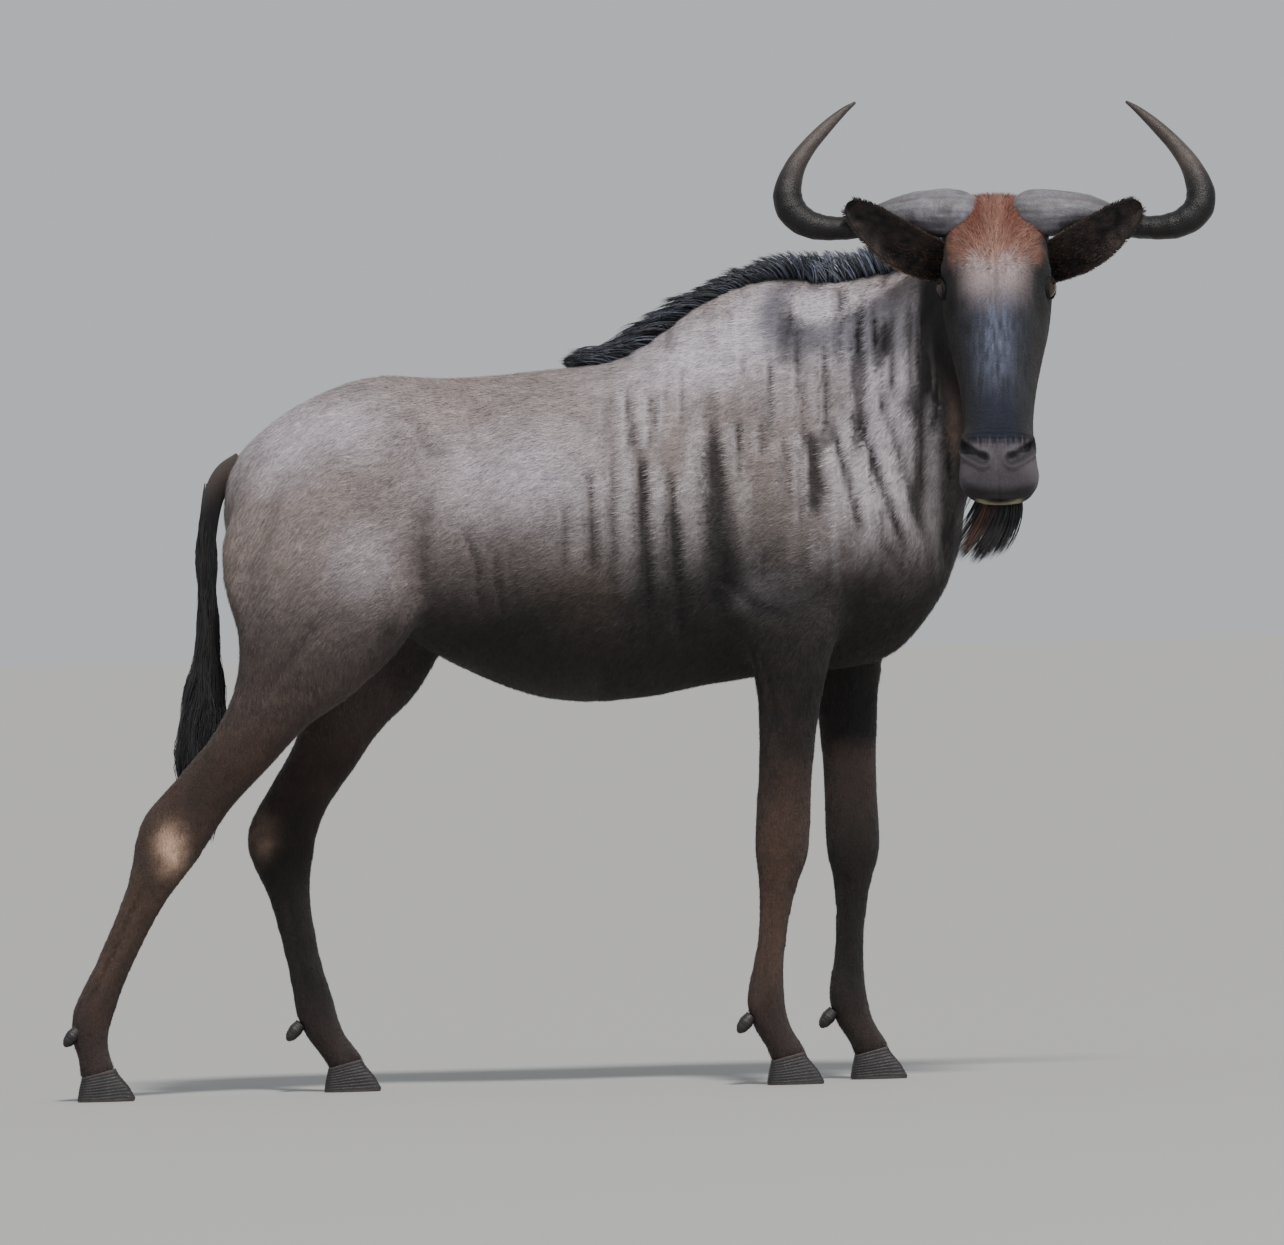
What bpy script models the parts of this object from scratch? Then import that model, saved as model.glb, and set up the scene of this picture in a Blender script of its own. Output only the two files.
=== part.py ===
"""A standing wildebeest, life size, its head turned to its right.

Metres, +Z up, the floor at Z = 0. +X runs to the front of the body and +Y to the animal's left.
The flesh is modelled whole from lofted forms, then parted with thin plane cuts. Horns, ears, eyes,
hooves, mane, beard and tail stand on it with a hair's breadth between the faces that meet.
"""

import math
import random

import bmesh
import bpy
import numpy as np
from mathutils import Matrix, Vector
from mathutils.bvhtree import BVHTree

# Sizes that hold for the whole animal
GAP = 0.0003
VOXEL = 0.0075
FLESH_TRIANGLES = 5200
SEED = 11

# The head: where the forehead begins between the horns, its turn past square, droop and lean
FOREHEAD = np.array([0.592, -0.262, 1.386])
HEAD_TURN = math.radians(4.0)
HEAD_DROOP = math.radians(72.0)
HEAD_LEAN = math.radians(1.4)

# Trunk stations: x, top, underside, half width, height of the widest point, power of the top arc
TRUNK = (
    (-0.645, 1.000, 0.870, 0.045, 0.935, 2.0),
    (-0.610, 1.048, 0.835, 0.095, 0.945, 2.0),
    (-0.530, 1.108, 0.800, 0.132, 0.960, 2.0),
    (-0.410, 1.153, 0.755, 0.148, 0.970, 1.9),
    (-0.280, 1.147, 0.678, 0.166, 0.930, 2.0),
    (-0.140, 1.156, 0.622, 0.184, 0.900, 2.0),
    (0.000, 1.176, 0.617, 0.186, 0.880, 1.9),
    (0.120, 1.258, 0.636, 0.170, 0.870, 1.7),
    (0.220, 1.300, 0.648, 0.152, 0.870, 1.6),
    (0.320, 1.296, 0.655, 0.138, 0.880, 1.6),
    (0.420, 1.220, 0.676, 0.118, 0.900, 1.8),
    (0.500, 1.080, 0.765, 0.085, 0.920, 2.0),
    (0.536, 0.990, 0.850, 0.045, 0.915, 2.0),
)

# Neck stations: centre, rise to the crest, drop to the throat, half width
NECK = (
    (0.260, 0.000, 1.030, 0.265, 0.260, 0.100),
    (0.380, -0.010, 1.100, 0.232, 0.255, 0.106),
    (0.470, -0.036, 1.165, 0.165, 0.215, 0.090),
    (0.538, -0.085, 1.215, 0.128, 0.165, 0.079),
    (0.578, -0.145, 1.262, 0.103, 0.125, 0.075),
    (0.590, -0.205, 1.285, 0.080, 0.095, 0.068),
)

# Head stations: way down the face, face line, jaw line, half width, line of greatest width, power
HEAD = (
    (-0.042, -0.045, -0.110, 0.045, -0.075, 2.0),
    (-0.025, -0.012, -0.135, 0.072, -0.070, 2.2),
    (0.010, 0.000, -0.155, 0.086, -0.070, 2.6),
    (0.070, 0.005, -0.172, 0.089, -0.068, 2.7),
    (0.125, 0.010, -0.188, 0.089, -0.070, 2.5),
    (0.175, 0.012, -0.196, 0.080, -0.085, 2.1),
    (0.232, 0.011, -0.184, 0.070, -0.085, 1.9),
    (0.288, 0.007, -0.164, 0.061, -0.080, 1.9),
    (0.342, 0.001, -0.145, 0.057, -0.074, 2.1),
    (0.385, -0.007, -0.134, 0.061, -0.070, 2.5),
    (0.422, -0.022, -0.126, 0.064, -0.072, 2.8),
    (0.452, -0.044, -0.116, 0.055, -0.078, 2.6),
    (0.470, -0.068, -0.100, 0.030, -0.083, 2.2),
)

# Girths down a leg: place along its joints, reach forward, reach back, half width
FORE_GIRTHS = (
    (0.00, 0.070, 0.060, 0.030),
    (0.40, 0.130, 0.098, 0.048),
    (0.75, 0.145, 0.102, 0.055),
    (1.00, 0.098, 0.088, 0.051),
    (1.25, 0.068, 0.062, 0.046),
    (1.50, 0.052, 0.049, 0.038),
    (1.75, 0.046, 0.046, 0.033),
    (2.00, 0.046, 0.046, 0.036),
    (2.17, 0.034, 0.036, 0.029),
    (2.35, 0.027, 0.029, 0.023),
    (2.60, 0.025, 0.027, 0.021),
    (2.82, 0.027, 0.031, 0.024),
    (3.00, 0.031, 0.036, 0.030),
    (3.35, 0.028, 0.033, 0.029),
    (3.70, 0.027, 0.027, 0.029),
    (4.00, 0.032, 0.029, 0.032),
    (4.30, 0.034, 0.029, 0.033),
)
HIND_GIRTHS = (
    (0.00, 0.080, 0.190, 0.046),
    (0.50, 0.132, 0.208, 0.058),
    (0.75, 0.135, 0.187, 0.060),
    (1.00, 0.105, 0.141, 0.056),
    (1.25, 0.070, 0.080, 0.049),
    (1.50, 0.060, 0.053, 0.041),
    (1.75, 0.050, 0.054, 0.035),
    (2.00, 0.052, 0.063, 0.034),
    (2.12, 0.048, 0.057, 0.033),
    (2.30, 0.036, 0.039, 0.028),
    (2.50, 0.031, 0.033, 0.024),
    (2.75, 0.029, 0.032, 0.024),
    (3.00, 0.033, 0.036, 0.030),
    (3.35, 0.028, 0.034, 0.029),
    (3.70, 0.026, 0.028, 0.029),
    (4.00, 0.031, 0.029, 0.032),
    (4.30, 0.033, 0.029, 0.033),
)

# Joints of each leg, top to coronet, as x, distance from the midline, z
LEGS = {
    "foreleg_right": (-1, FORE_GIRTHS, (
        (0.245, 0.072, 1.100), (0.255, 0.110, 0.760), (0.233, 0.082, 0.375),
        (0.203, 0.078, 0.135), (0.232, 0.078, 0.050))),
    "foreleg_left": (1, FORE_GIRTHS, (
        (0.255, 0.072, 1.100), (0.335, 0.110, 0.760), (0.350, 0.082, 0.373),
        (0.337, 0.078, 0.135), (0.368, 0.078, 0.050))),
    "hindleg_right": (-1, HIND_GIRTHS, (
        (-0.400, 0.094, 0.960), (-0.520, 0.108, 0.700), (-0.732, 0.088, 0.425),
        (-0.873, 0.084, 0.140), (-0.870, 0.084, 0.050))),
    "hindleg_left": (1, HIND_GIRTHS, (
        (-0.400, 0.094, 0.960), (-0.432, 0.108, 0.680), (-0.567, 0.088, 0.411),
        (-0.522, 0.084, 0.135), (-0.480, 0.084, 0.050))),
}
CORONET = 0.046
CORONET_SLOPE = math.radians(14.0)

# Swellings and hollows, alike on both sides: centre, radii, height
FORMS = (
    ((0.245, 0.145, 1.080), (0.045, 0.060, 0.130), 0.009),
    ((0.125, 0.165, 0.950), (0.035, 0.060, 0.130), -0.008),
    ((0.400, 0.115, 0.870), (0.060, 0.050, 0.070), 0.010),
    ((0.225, 0.150, 0.860), (0.070, 0.050, 0.075), 0.010),
    ((0.172, 0.130, 0.755), (0.025, 0.040, 0.035), 0.010),
    ((0.330, 0.130, 0.760), (0.040, 0.040, 0.060), -0.006),
    ((-0.335, 0.130, 1.060), (0.040, 0.050, 0.045), 0.012),
    ((-0.250, 0.155, 1.000), (0.055, 0.060, 0.075), -0.012),
    ((-0.470, 0.150, 0.870), (0.110, 0.060, 0.110), 0.010),
    ((-0.365, 0.150, 0.760), (0.040, 0.045, 0.045), 0.010),
    ((-0.600, 0.120, 0.960), (0.035, 0.050, 0.035), 0.008),
    ((-0.600, 0.140, 0.800), (0.025, 0.050, 0.100), -0.004),
)

# The same on the head, in its own frame: side, down the face, off the face line
FACE_FORMS = (
    ((0.074, 0.094, -0.030), (0.018, 0.018, 0.022), 0.008),
    ((0.086, 0.060, -0.065), (0.020, 0.025, 0.030), -0.004),
    ((0.064, 0.160, -0.040), (0.016, 0.022, 0.022), -0.004),
    ((0.066, 0.200, -0.070), (0.016, 0.045, 0.018), 0.004),
    ((0.062, 0.165, -0.140), (0.030, 0.050, 0.040), 0.006),
    ((0.047, 0.378, -0.020), (0.017, 0.014, 0.022), 0.009),
    ((0.030, 0.425, -0.024), (0.030, 0.016, 0.020), 0.003),
    ((0.050, 0.435, -0.062), (0.022, 0.020, 0.026), 0.006),
    ((0.040, 0.455, -0.106), (0.020, 0.016, 0.014), 0.004),
)

# Horn stations: out from the midline, up and forward from the forehead, half height, half depth;
# above the forehead both horns sway a little to the right
HORN = (
    (0.030, -0.006, -0.052, 0.026, 0.040),
    (0.055, -0.006, -0.050, 0.038, 0.054),
    (0.095, -0.006, -0.050, 0.038, 0.053),
    (0.140, -0.006, -0.048, 0.031, 0.042),
    (0.190, -0.019, -0.043, 0.024, 0.031),
    (0.240, -0.030, -0.035, 0.019, 0.024),
    (0.288, -0.026, -0.029, 0.022, 0.025),
    (0.319, -0.006, -0.030, 0.0245, 0.025),
    (0.328, 0.024, -0.036, 0.0235, 0.023),
    (0.316, 0.064, -0.047, 0.018, 0.018),
    (0.294, 0.098, -0.062, 0.014, 0.015),
    (0.264, 0.131, -0.079, 0.011, 0.011),
    (0.236, 0.157, -0.093, 0.007, 0.007),
    (0.216, 0.172, -0.102, 0.003, 0.003),
)

HORN_SWAY = -0.055

# Ears: root and tip out from the midline, up and forward from the forehead
EAR_ROOT = (0.070, -0.096, -0.082)
EAR_MIDDLE = (0.150, -0.056, -0.010)
EAR_TIP = (0.232, 0.008, 0.010)
EAR_HALF_WIDTH = 0.039
EAR_WALL = 0.0042

# Eyes in the head's own frame: side, down the face, off the face line
EYE = (0.0745, 0.116, -0.052)
EYE_RADIUS = 0.0205
LID = 0.0038

# Tail: the line of its bone from the root down, with the radius of the skin round it
TAIL = (
    (-0.615, 0.0, 1.015, 0.022),
    (-0.645, 0.0, 0.995, 0.021),
    (-0.664, 0.0, 0.960, 0.018),
    (-0.674, 0.0, 0.900, 0.015),
    (-0.677, 0.0, 0.840, 0.014),
    (-0.677, 0.0, 0.780, 0.013),
    (-0.677, 0.0, 0.735, 0.012),
)
TUFT = (
    (-0.677, 0.0, 0.745, 0.014, 0.014),
    (-0.682, 0.0, 0.690, 0.027, 0.020),
    (-0.688, 0.0, 0.620, 0.040, 0.026),
    (-0.697, 0.0, 0.540, 0.043, 0.027),
    (-0.697, 0.0, 0.470, 0.032, 0.021),
    (-0.690, 0.0, 0.410, 0.017, 0.012),
    (-0.686, 0.0, 0.372, 0.004, 0.004),
)

# Mane: points along the crest seen from above, with the height of its hair over the skin and
# how far the hair lies back for each metre that it rises
MANE = (
    (-0.075, 0.000, 0.005, 1.6),
    (-0.035, 0.000, 0.024, 1.5),
    (0.010, 0.000, 0.040, 1.2),
    (0.070, 0.000, 0.042, 1.1),
    (0.140, 0.000, 0.031, 1.1),
    (0.215, -0.002, 0.026, 1.0),
    (0.290, -0.006, 0.040, 0.7),
    (0.360, -0.014, 0.046, 0.4),
    (0.420, -0.030, 0.046, 0.2),
    (0.480, -0.062, 0.044, 0.1),
    (0.525, -0.100, 0.040, 0.0),
    (0.548, -0.128, 0.022, 0.0),
)
MANE_HALF_WIDTH = 0.016
MANE_LOCKS = 18
MANE_LOCK = (0.023, 0.0050)

# Beard: root line under the jaw in the head's own frame, with the hair's length and how far
# its tips curl to the right
BEARD = (
    (0.448, -0.112, 0.095, 0.030),
    (0.410, -0.128, 0.120, 0.036),
    (0.360, -0.140, 0.110, 0.020),
    (0.300, -0.158, 0.080, 0.008),
    (0.250, -0.176, 0.050, 0.000),
)
BEARD_ROWS = 7
BEARD_COLUMNS = (-0.018, 0.0, 0.018)
BEARD_LOCK = (0.015, 0.0045)

# Tail tuft: how many locks, and half the width and thickness of each
TUFT_LOCKS = 17
TUFT_LOCK = (0.015, 0.0048)

# Widths of a lock from its root to its tip, as shares of its full width
LOCK_TAPER = (0.7, 1.0, 0.66, 0.10)

# A core under the locks rises this share of the way to their tips
CORE_SHARE = 0.45

FINISHES = {
    "coat": ((0.19, 0.155, 0.145), 0.75),
    "leg_coat": ((0.075, 0.036, 0.024), 0.7),
    "face": ((0.035, 0.032, 0.038), 0.6),
    "black_hair": ((0.012, 0.012, 0.015), 0.55),
    "horn": ((0.085, 0.068, 0.058), 0.45),
    "hoof": ((0.022, 0.022, 0.026), 0.4),
    "eye": ((0.010, 0.006, 0.004), 0.08),
}


def head_axes():
    """Unit vectors of the head: to its left, down the face, out of the face, forward and up."""
    square = np.array([math.cos(HEAD_TURN), -math.sin(HEAD_TURN), 0.0])
    level = np.array([-math.sin(HEAD_TURN), -math.cos(HEAD_TURN), 0.0])
    side = square * math.cos(HEAD_LEAN) - np.array([0.0, 0.0, math.sin(HEAD_LEAN)])
    up = square * math.sin(HEAD_LEAN) + np.array([0.0, 0.0, math.cos(HEAD_LEAN)])
    plumb = np.array([0.0, 0.0, 1.0])
    down_face = level * math.cos(HEAD_DROOP) - plumb * math.sin(HEAD_DROOP)
    out_face = level * math.sin(HEAD_DROOP) + plumb * math.cos(HEAD_DROOP)
    return side, down_face, out_face, level, up


SIDE, DOWN_FACE, OUT_FACE, LEVEL, CROWN = head_axes()


def in_head(side, down, out):
    """World point of a place given in the head's own frame."""
    return FOREHEAD + side * SIDE + down * DOWN_FACE + out * OUT_FACE


def off_forehead(side, up, forward):
    """World point of a place given out from the midline, up and forward from the forehead."""
    return FOREHEAD + side * SIDE + up * CROWN + forward * LEVEL


def spline(rows, count):
    """Rows of numbers resampled evenly along a Catmull-Rom curve through them."""
    rows = np.asarray(rows, dtype=float)
    padded = np.vstack([2 * rows[0] - rows[1], rows, 2 * rows[-1] - rows[-2]])
    places = np.linspace(0.0, len(rows) - 1.0, count)
    index = np.minimum(places.astype(int), len(rows) - 2)
    t = (places - index)[:, None]
    a, b, c, d = (padded[index + k] for k in range(4))
    return 0.5 * (2 * b + (c - a) * t + (2 * a - 5 * b + 4 * c - d) * t**2 + (3 * b - a - 3 * c + d) * t**3)


def unit(vectors):
    """Vectors scaled to length one."""
    vectors = np.asarray(vectors, dtype=float)
    return vectors / np.maximum(np.linalg.norm(vectors, axis=-1, keepdims=True), 1e-12)


def arc_section(sides, power=2.0):
    """Cosine and sine pairs round a superellipse of the given power, one row a side."""
    angle = np.linspace(0.0, 2 * math.pi, sides, endpoint=False)
    cosine, sine = np.cos(angle), np.sin(angle)
    power = np.asarray(power, dtype=float)[..., None]
    return (np.sign(cosine) * np.abs(cosine) ** (2 / power),
            np.sign(sine) * np.abs(sine) ** (2 / power))


def rings_of(centres, across, upright, half, rise, drop, power, sides):
    """Closed rings of points: half width along across, rise and drop along upright."""
    cosine, sine = arc_section(sides, power)
    cosine = np.broadcast_to(cosine, (len(centres), sides))
    sine = np.broadcast_to(sine, (len(centres), sides))
    tall = np.where(sine > 0, np.asarray(rise)[:, None], np.asarray(drop)[:, None]) * sine
    wide = np.asarray(half)[:, None] * cosine
    return (np.asarray(centres)[:, None, :] + wide[..., None] * np.asarray(across)[:, None, :]
            + tall[..., None] * np.asarray(upright)[:, None, :])


def new_object(name, mesh):
    """Links a mesh to the scene as an object."""
    thing = bpy.data.objects.new(name, mesh)
    bpy.context.scene.collection.objects.link(thing)
    return thing


def loft(name, rings, bulge=0.0, strips=False):
    """Closed skin over rings of points, its ends closed by poles, or by strips across the ring."""
    rings = np.asarray(rings, dtype=float)
    count, sides = rings.shape[:2]
    first, last = rings[0].mean(axis=0), rings[-1].mean(axis=0)
    poles = [first - bulge * unit(rings[1].mean(axis=0) - first),
             last + bulge * unit(last - rings[-2].mean(axis=0))]
    points = np.vstack([rings.reshape(-1, 3), poles])
    faces = []
    for ring in range(count - 1):
        for side in range(sides):
            after = (side + 1) % sides
            faces.append((ring * sides + side, ring * sides + after,
                          (ring + 1) * sides + after, (ring + 1) * sides + side))
    start, end = count * sides, count * sides + 1
    last_ring = (count - 1) * sides
    for side in range(sides // 2 - 1 if strips else 0):
        strip = (side, side + 1, sides - 2 - side, sides - 1 - side)
        faces.append(strip)
        faces.append(tuple(last_ring + corner for corner in strip))
    for side in range(0 if strips else sides):
        after = (side + 1) % sides
        faces.append((start, after, side))
        faces.append((end, last_ring + side, last_ring + after))
    if strips:
        points = points[:-2]
    mesh = bpy.data.meshes.new(name)
    mesh.from_pydata(points.tolist(), [], faces)
    return face_outward(new_object(name, mesh))


def face_outward(thing):
    """Turns every face of a closed mesh outward."""
    shape = bmesh.new()
    shape.from_mesh(thing.data)
    bmesh.ops.recalc_face_normals(shape, faces=shape.faces)
    shape.to_mesh(thing.data)
    shape.free()
    return thing


def apply_modifiers(thing):
    """Makes the mesh that the modifiers give the object's own."""
    graph = bpy.context.evaluated_depsgraph_get()
    mesh = bpy.data.meshes.new_from_object(thing.evaluated_get(graph))
    thing.modifiers.clear()
    thing.data = mesh
    return thing


def remove(thing):
    """Takes an object out of the file."""
    bpy.data.objects.remove(thing, do_unlink=True)


def volume_of(mesh):
    """Volume inside a closed mesh."""
    shape = bmesh.new()
    shape.from_mesh(mesh)
    volume = shape.calc_volume()
    shape.free()
    return volume


def combine(thing, others, operation):
    """Boolean of an object with a collection of others, applied; the others are removed.

    Where the exact solver loses the shape, the manifold one takes its place.
    """
    group = bpy.data.collections.new("tools")
    bpy.context.scene.collection.children.link(group)
    for other in others:
        group.objects.link(other)
    before = thing.data
    least = volume_of(before) if operation == "UNION" else 0.0
    for solver in ("EXACT", "MANIFOLD"):
        thing.data = before
        modifier = thing.modifiers.new("combine", "BOOLEAN")
        modifier.operation = operation
        modifier.solver = solver
        modifier.operand_type = "COLLECTION"
        modifier.collection = group
        apply_modifiers(thing)
        if volume_of(thing.data) > least:
            break
    for other in list(group.objects):
        remove(other)
    bpy.data.collections.remove(group)
    return thing


def copy_of(thing, name):
    """A second object with its own copy of the mesh."""
    return new_object(name, thing.data.copy())


def largest_surface(thing):
    """Keeps only the largest closed surface of a mesh, triangulated and welded."""
    shape = bmesh.new()
    shape.from_mesh(thing.data)
    bmesh.ops.remove_doubles(shape, verts=shape.verts, dist=0.00002)
    bmesh.ops.dissolve_degenerate(shape, edges=shape.edges, dist=0.00002)
    bmesh.ops.triangulate(shape, faces=shape.faces)
    groups, seen = [], set()
    for start in shape.verts:
        if start in seen:
            continue
        stack, group = [start], []
        seen.add(start)
        while stack:
            vertex = stack.pop()
            group.append(vertex)
            for edge in vertex.link_edges:
                other = edge.other_vert(vertex)
                if other not in seen:
                    seen.add(other)
                    stack.append(other)
        groups.append(group)
    groups.sort(key=len)
    for group in groups[:-1]:
        bmesh.ops.delete(shape, geom=group, context="VERTS")
    shape.to_mesh(thing.data)
    shape.free()
    return thing


def read_points(mesh):
    """Vertex positions of a mesh as an array."""
    points = np.empty(len(mesh.vertices) * 3)
    mesh.vertices.foreach_get("co", points)
    return points.reshape(-1, 3)


def read_normals(mesh):
    """Vertex normals of a mesh as an array."""
    normals = np.empty(len(mesh.vertices) * 3)
    mesh.vertex_normals.foreach_get("vector", normals)
    return normals.reshape(-1, 3)


def write_points(mesh, points):
    """Sets the vertex positions of a mesh."""
    mesh.vertices.foreach_set("co", points.reshape(-1))
    mesh.update()


def relax(mesh, weights, rounds):
    """Moves each vertex toward the mean of its neighbours, by its weight, some rounds over."""
    points = read_points(mesh)
    edges = np.empty(len(mesh.edges) * 2, dtype=int)
    mesh.edges.foreach_get("vertices", edges)
    edges = edges.reshape(-1, 2)
    total = len(points)
    degree = np.bincount(edges.ravel(), minlength=total)
    for _ in range(rounds):
        mean = np.empty_like(points)
        for axis in range(3):
            mean[:, axis] = (np.bincount(edges[:, 0], points[edges[:, 1], axis], total)
                             + np.bincount(edges[:, 1], points[edges[:, 0], axis], total)) / degree
        points += weights[:, None] * (mean - points)
    write_points(mesh, points)


def trunk_form():
    """The barrel of the body: upright oval sections from rump to breast."""
    rows = spline(TRUNK, 49)
    x, top, under, half, wide, power = rows.T
    centres = np.stack([x, np.zeros_like(x), wide], axis=1)
    across = np.tile([0.0, 1.0, 0.0], (len(x), 1))
    upright = np.tile([0.0, 0.0, 1.0], (len(x), 1))
    rings = rings_of(centres, across, upright, half, top - wide, wide - under, power, 40)
    return loft("trunk", rings, 0.008)


def neck_form():
    """The neck: oval sections along a line that rises and bends to the right."""
    rows = spline(NECK, 31)
    centres, rise, drop, half = rows[:, :3], rows[:, 3], rows[:, 4], rows[:, 5]
    along = unit(np.gradient(centres, axis=0))
    across = unit(np.cross([0.0, 0.0, 1.0], along))
    upright = np.cross(along, across)
    rings = rings_of(centres, across, upright, half, rise, drop, np.full(len(rows), 1.9), 32)
    return loft("neck_form", rings, 0.01)


def head_form():
    """The skull and jaws: sections square to the face line, flat in front and round below."""
    rows = spline(HEAD, 49)
    down, face, jaw, half, wide, power = rows.T
    centres = in_head(0.0, 0.0, 0.0) + down[:, None] * DOWN_FACE + wide[:, None] * OUT_FACE
    across = np.tile(SIDE, (len(rows), 1))
    upright = np.tile(OUT_FACE, (len(rows), 1))
    return loft("head_form", rings_of(centres, across, upright, half, face - wide, wide - jaw, power, 36), 0.004)


def leg_form(name, hand, girths, joints):
    """One leg: oval sections square to the line through its joints."""
    line = np.array(joints, dtype=float)
    line[:, 1] *= hand
    drop = line[-1] - line[-2]
    line = np.vstack([line, line[-1] + drop * 0.5])
    rows = spline(girths, 4 * len(girths))
    place, front, back, half = rows.T
    fine = spline(line, 241)
    steps = np.linspace(0.0, len(line) - 1.0, 241)
    soft = np.minimum(np.maximum(place, 0.0), len(line) - 1.0)
    centres = np.stack([np.interp(soft, steps, fine[:, k]) for k in range(3)], axis=1)
    straight = np.stack([np.interp(soft, np.arange(len(line)), line[:, k]) for k in range(3)], axis=1)
    centres = 0.5 * (centres + straight)
    along = unit(np.gradient(centres, axis=0))
    across = np.tile([0.0, 1.0, 0.0], (len(rows), 1))
    forward = unit(np.cross(along, across))
    forward *= np.sign(forward[:, :1])
    return loft(name, rings_of(centres, across, forward, half, front, back, np.full(len(rows), 2.2), 24), 0.006)


def bells(places, forms, across):
    """Height to push out at each place: a bell round each form's centre, alike on both sides."""
    total = np.zeros(len(places))
    for centre, radii, height in forms:
        for hand in (-1, 1):
            middle = np.array(centre)
            middle[across] *= hand
            total += height * np.exp(-np.sum(((places - middle) / np.array(radii)) ** 2, axis=1))
    return total


def head_places(points):
    """World points given in the head's own frame."""
    return (points - FOREHEAD) @ np.linalg.inv(np.stack([SIDE, DOWN_FACE, OUT_FACE]))


def make_flesh():
    """Head, neck, trunk and legs as one closed skin, coarser where the form is plain."""
    forms = [trunk_form(), neck_form(), head_form()]
    forms += [leg_form(name, *spec) for name, spec in LEGS.items()]
    shape = bmesh.new()
    for form in forms:
        shape.from_mesh(form.data)
        remove(form)
    mesh = bpy.data.meshes.new("flesh")
    shape.to_mesh(mesh)
    shape.free()
    flesh = new_object("flesh", mesh)
    remesh = flesh.modifiers.new("skin", "REMESH")
    remesh.mode = "VOXEL"
    remesh.voxel_size = VOXEL
    apply_modifiers(flesh)
    points = read_points(flesh.data)
    near_head = np.exp(-np.sum((points - in_head(0, 0.24, -0.07)) ** 2, axis=1) / 0.21**2)
    high = np.clip((points[:, 2] - 0.50) / 0.15, 0.0, 1.0)
    relax(flesh.data, 0.5 * np.clip(high - 1.1 * near_head, 0.10, 1.0), 20)
    points, normals = read_points(flesh.data), read_normals(flesh.data)
    push = bells(points, FORMS, 1) + bells(head_places(points), FACE_FORMS, 0)
    points = points + push[:, None] * normals
    write_points(flesh.data, points)
    plain = flesh.vertex_groups.new(name="plain")
    low = np.clip((0.50 - points[:, 2]) / 0.1, 0.0, 1.0)
    weights = np.clip(1.0 - 0.05 * near_head - 0.02 * low, 0.0, 1.0)
    for index, weight in enumerate(weights.tolist()):
        plain.add([index], weight, "REPLACE")
    thin = flesh.modifiers.new("thin", "DECIMATE")
    thin.ratio = FLESH_TRIANGLES / (2.0 * len(flesh.data.polygons))
    thin.use_collapse_triangulate = True
    thin.vertex_group = "plain"
    thin.vertex_group_factor = 1.0
    apply_modifiers(flesh)
    return largest_surface(flesh)


def block(point, into, up, width, height, depth, grow, reach=None):
    """A box with one face on a plane, reaching into a half-space, grown all round by a little."""
    x_axis = unit(np.cross(up, into))
    y_axis = unit(np.cross(into, x_axis))
    z_axis = unit(into if reach is None else reach)
    centre = np.asarray(point) + z_axis * depth / 2
    turn = Matrix(np.stack([x_axis, y_axis, z_axis], axis=1).tolist()).to_4x4()
    size = Matrix.Diagonal((width + 2 * grow, height + 2 * grow, depth + 2 * grow, 1.0))
    shape = bmesh.new()
    bmesh.ops.create_cube(shape, size=1.0, matrix=Matrix.Translation(centre.tolist()) @ turn @ size)
    mesh = bpy.data.meshes.new("block")
    shape.to_mesh(mesh)
    shape.free()
    return new_object("block", mesh)


def part_off(flesh, name, *box, reach=None):
    """Cuts the piece of flesh inside a box off the rest, with a thin gap between them."""
    piece = combine(copy_of(flesh, name), [block(*box, -GAP / 2, reach)], "INTERSECT")
    combine(flesh, [block(*box, GAP / 2, reach)], "DIFFERENCE")
    return largest_surface(piece)


def inflate(thing, name, distance):
    """A copy of a closed mesh pushed out along its normals."""
    copy = copy_of(thing, name)
    write_points(copy.data, read_points(copy.data) + distance * read_normals(copy.data))
    return copy


def stand_on(piece, flesh):
    """Trims a piece to the flesh that it grows from, a thin gap away."""
    combine(piece, [inflate(flesh, "ground_for_" + piece.name, GAP * 1.3)], "DIFFERENCE")
    return largest_surface(piece)


def horn(name, hand):
    """A horn: boss on the crown, out and down, then up with the tip turned in."""
    rows = spline(HORN, 27)
    centres = np.array([off_forehead(hand * r[0] + HORN_SWAY * max(r[1], 0.0), r[1], r[2]) for r in rows])
    along = unit(np.gradient(centres, axis=0))
    forward = np.tile(LEVEL, (len(rows), 1))
    upright = unit(np.cross(along, forward))
    forward = unit(np.cross(upright, along))
    rings = rings_of(centres, forward, upright, rows[:, 4], rows[:, 3], rows[:, 3], np.full(len(rows), 2.1), 10)
    return loft(name, rings, 0.002)


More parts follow.
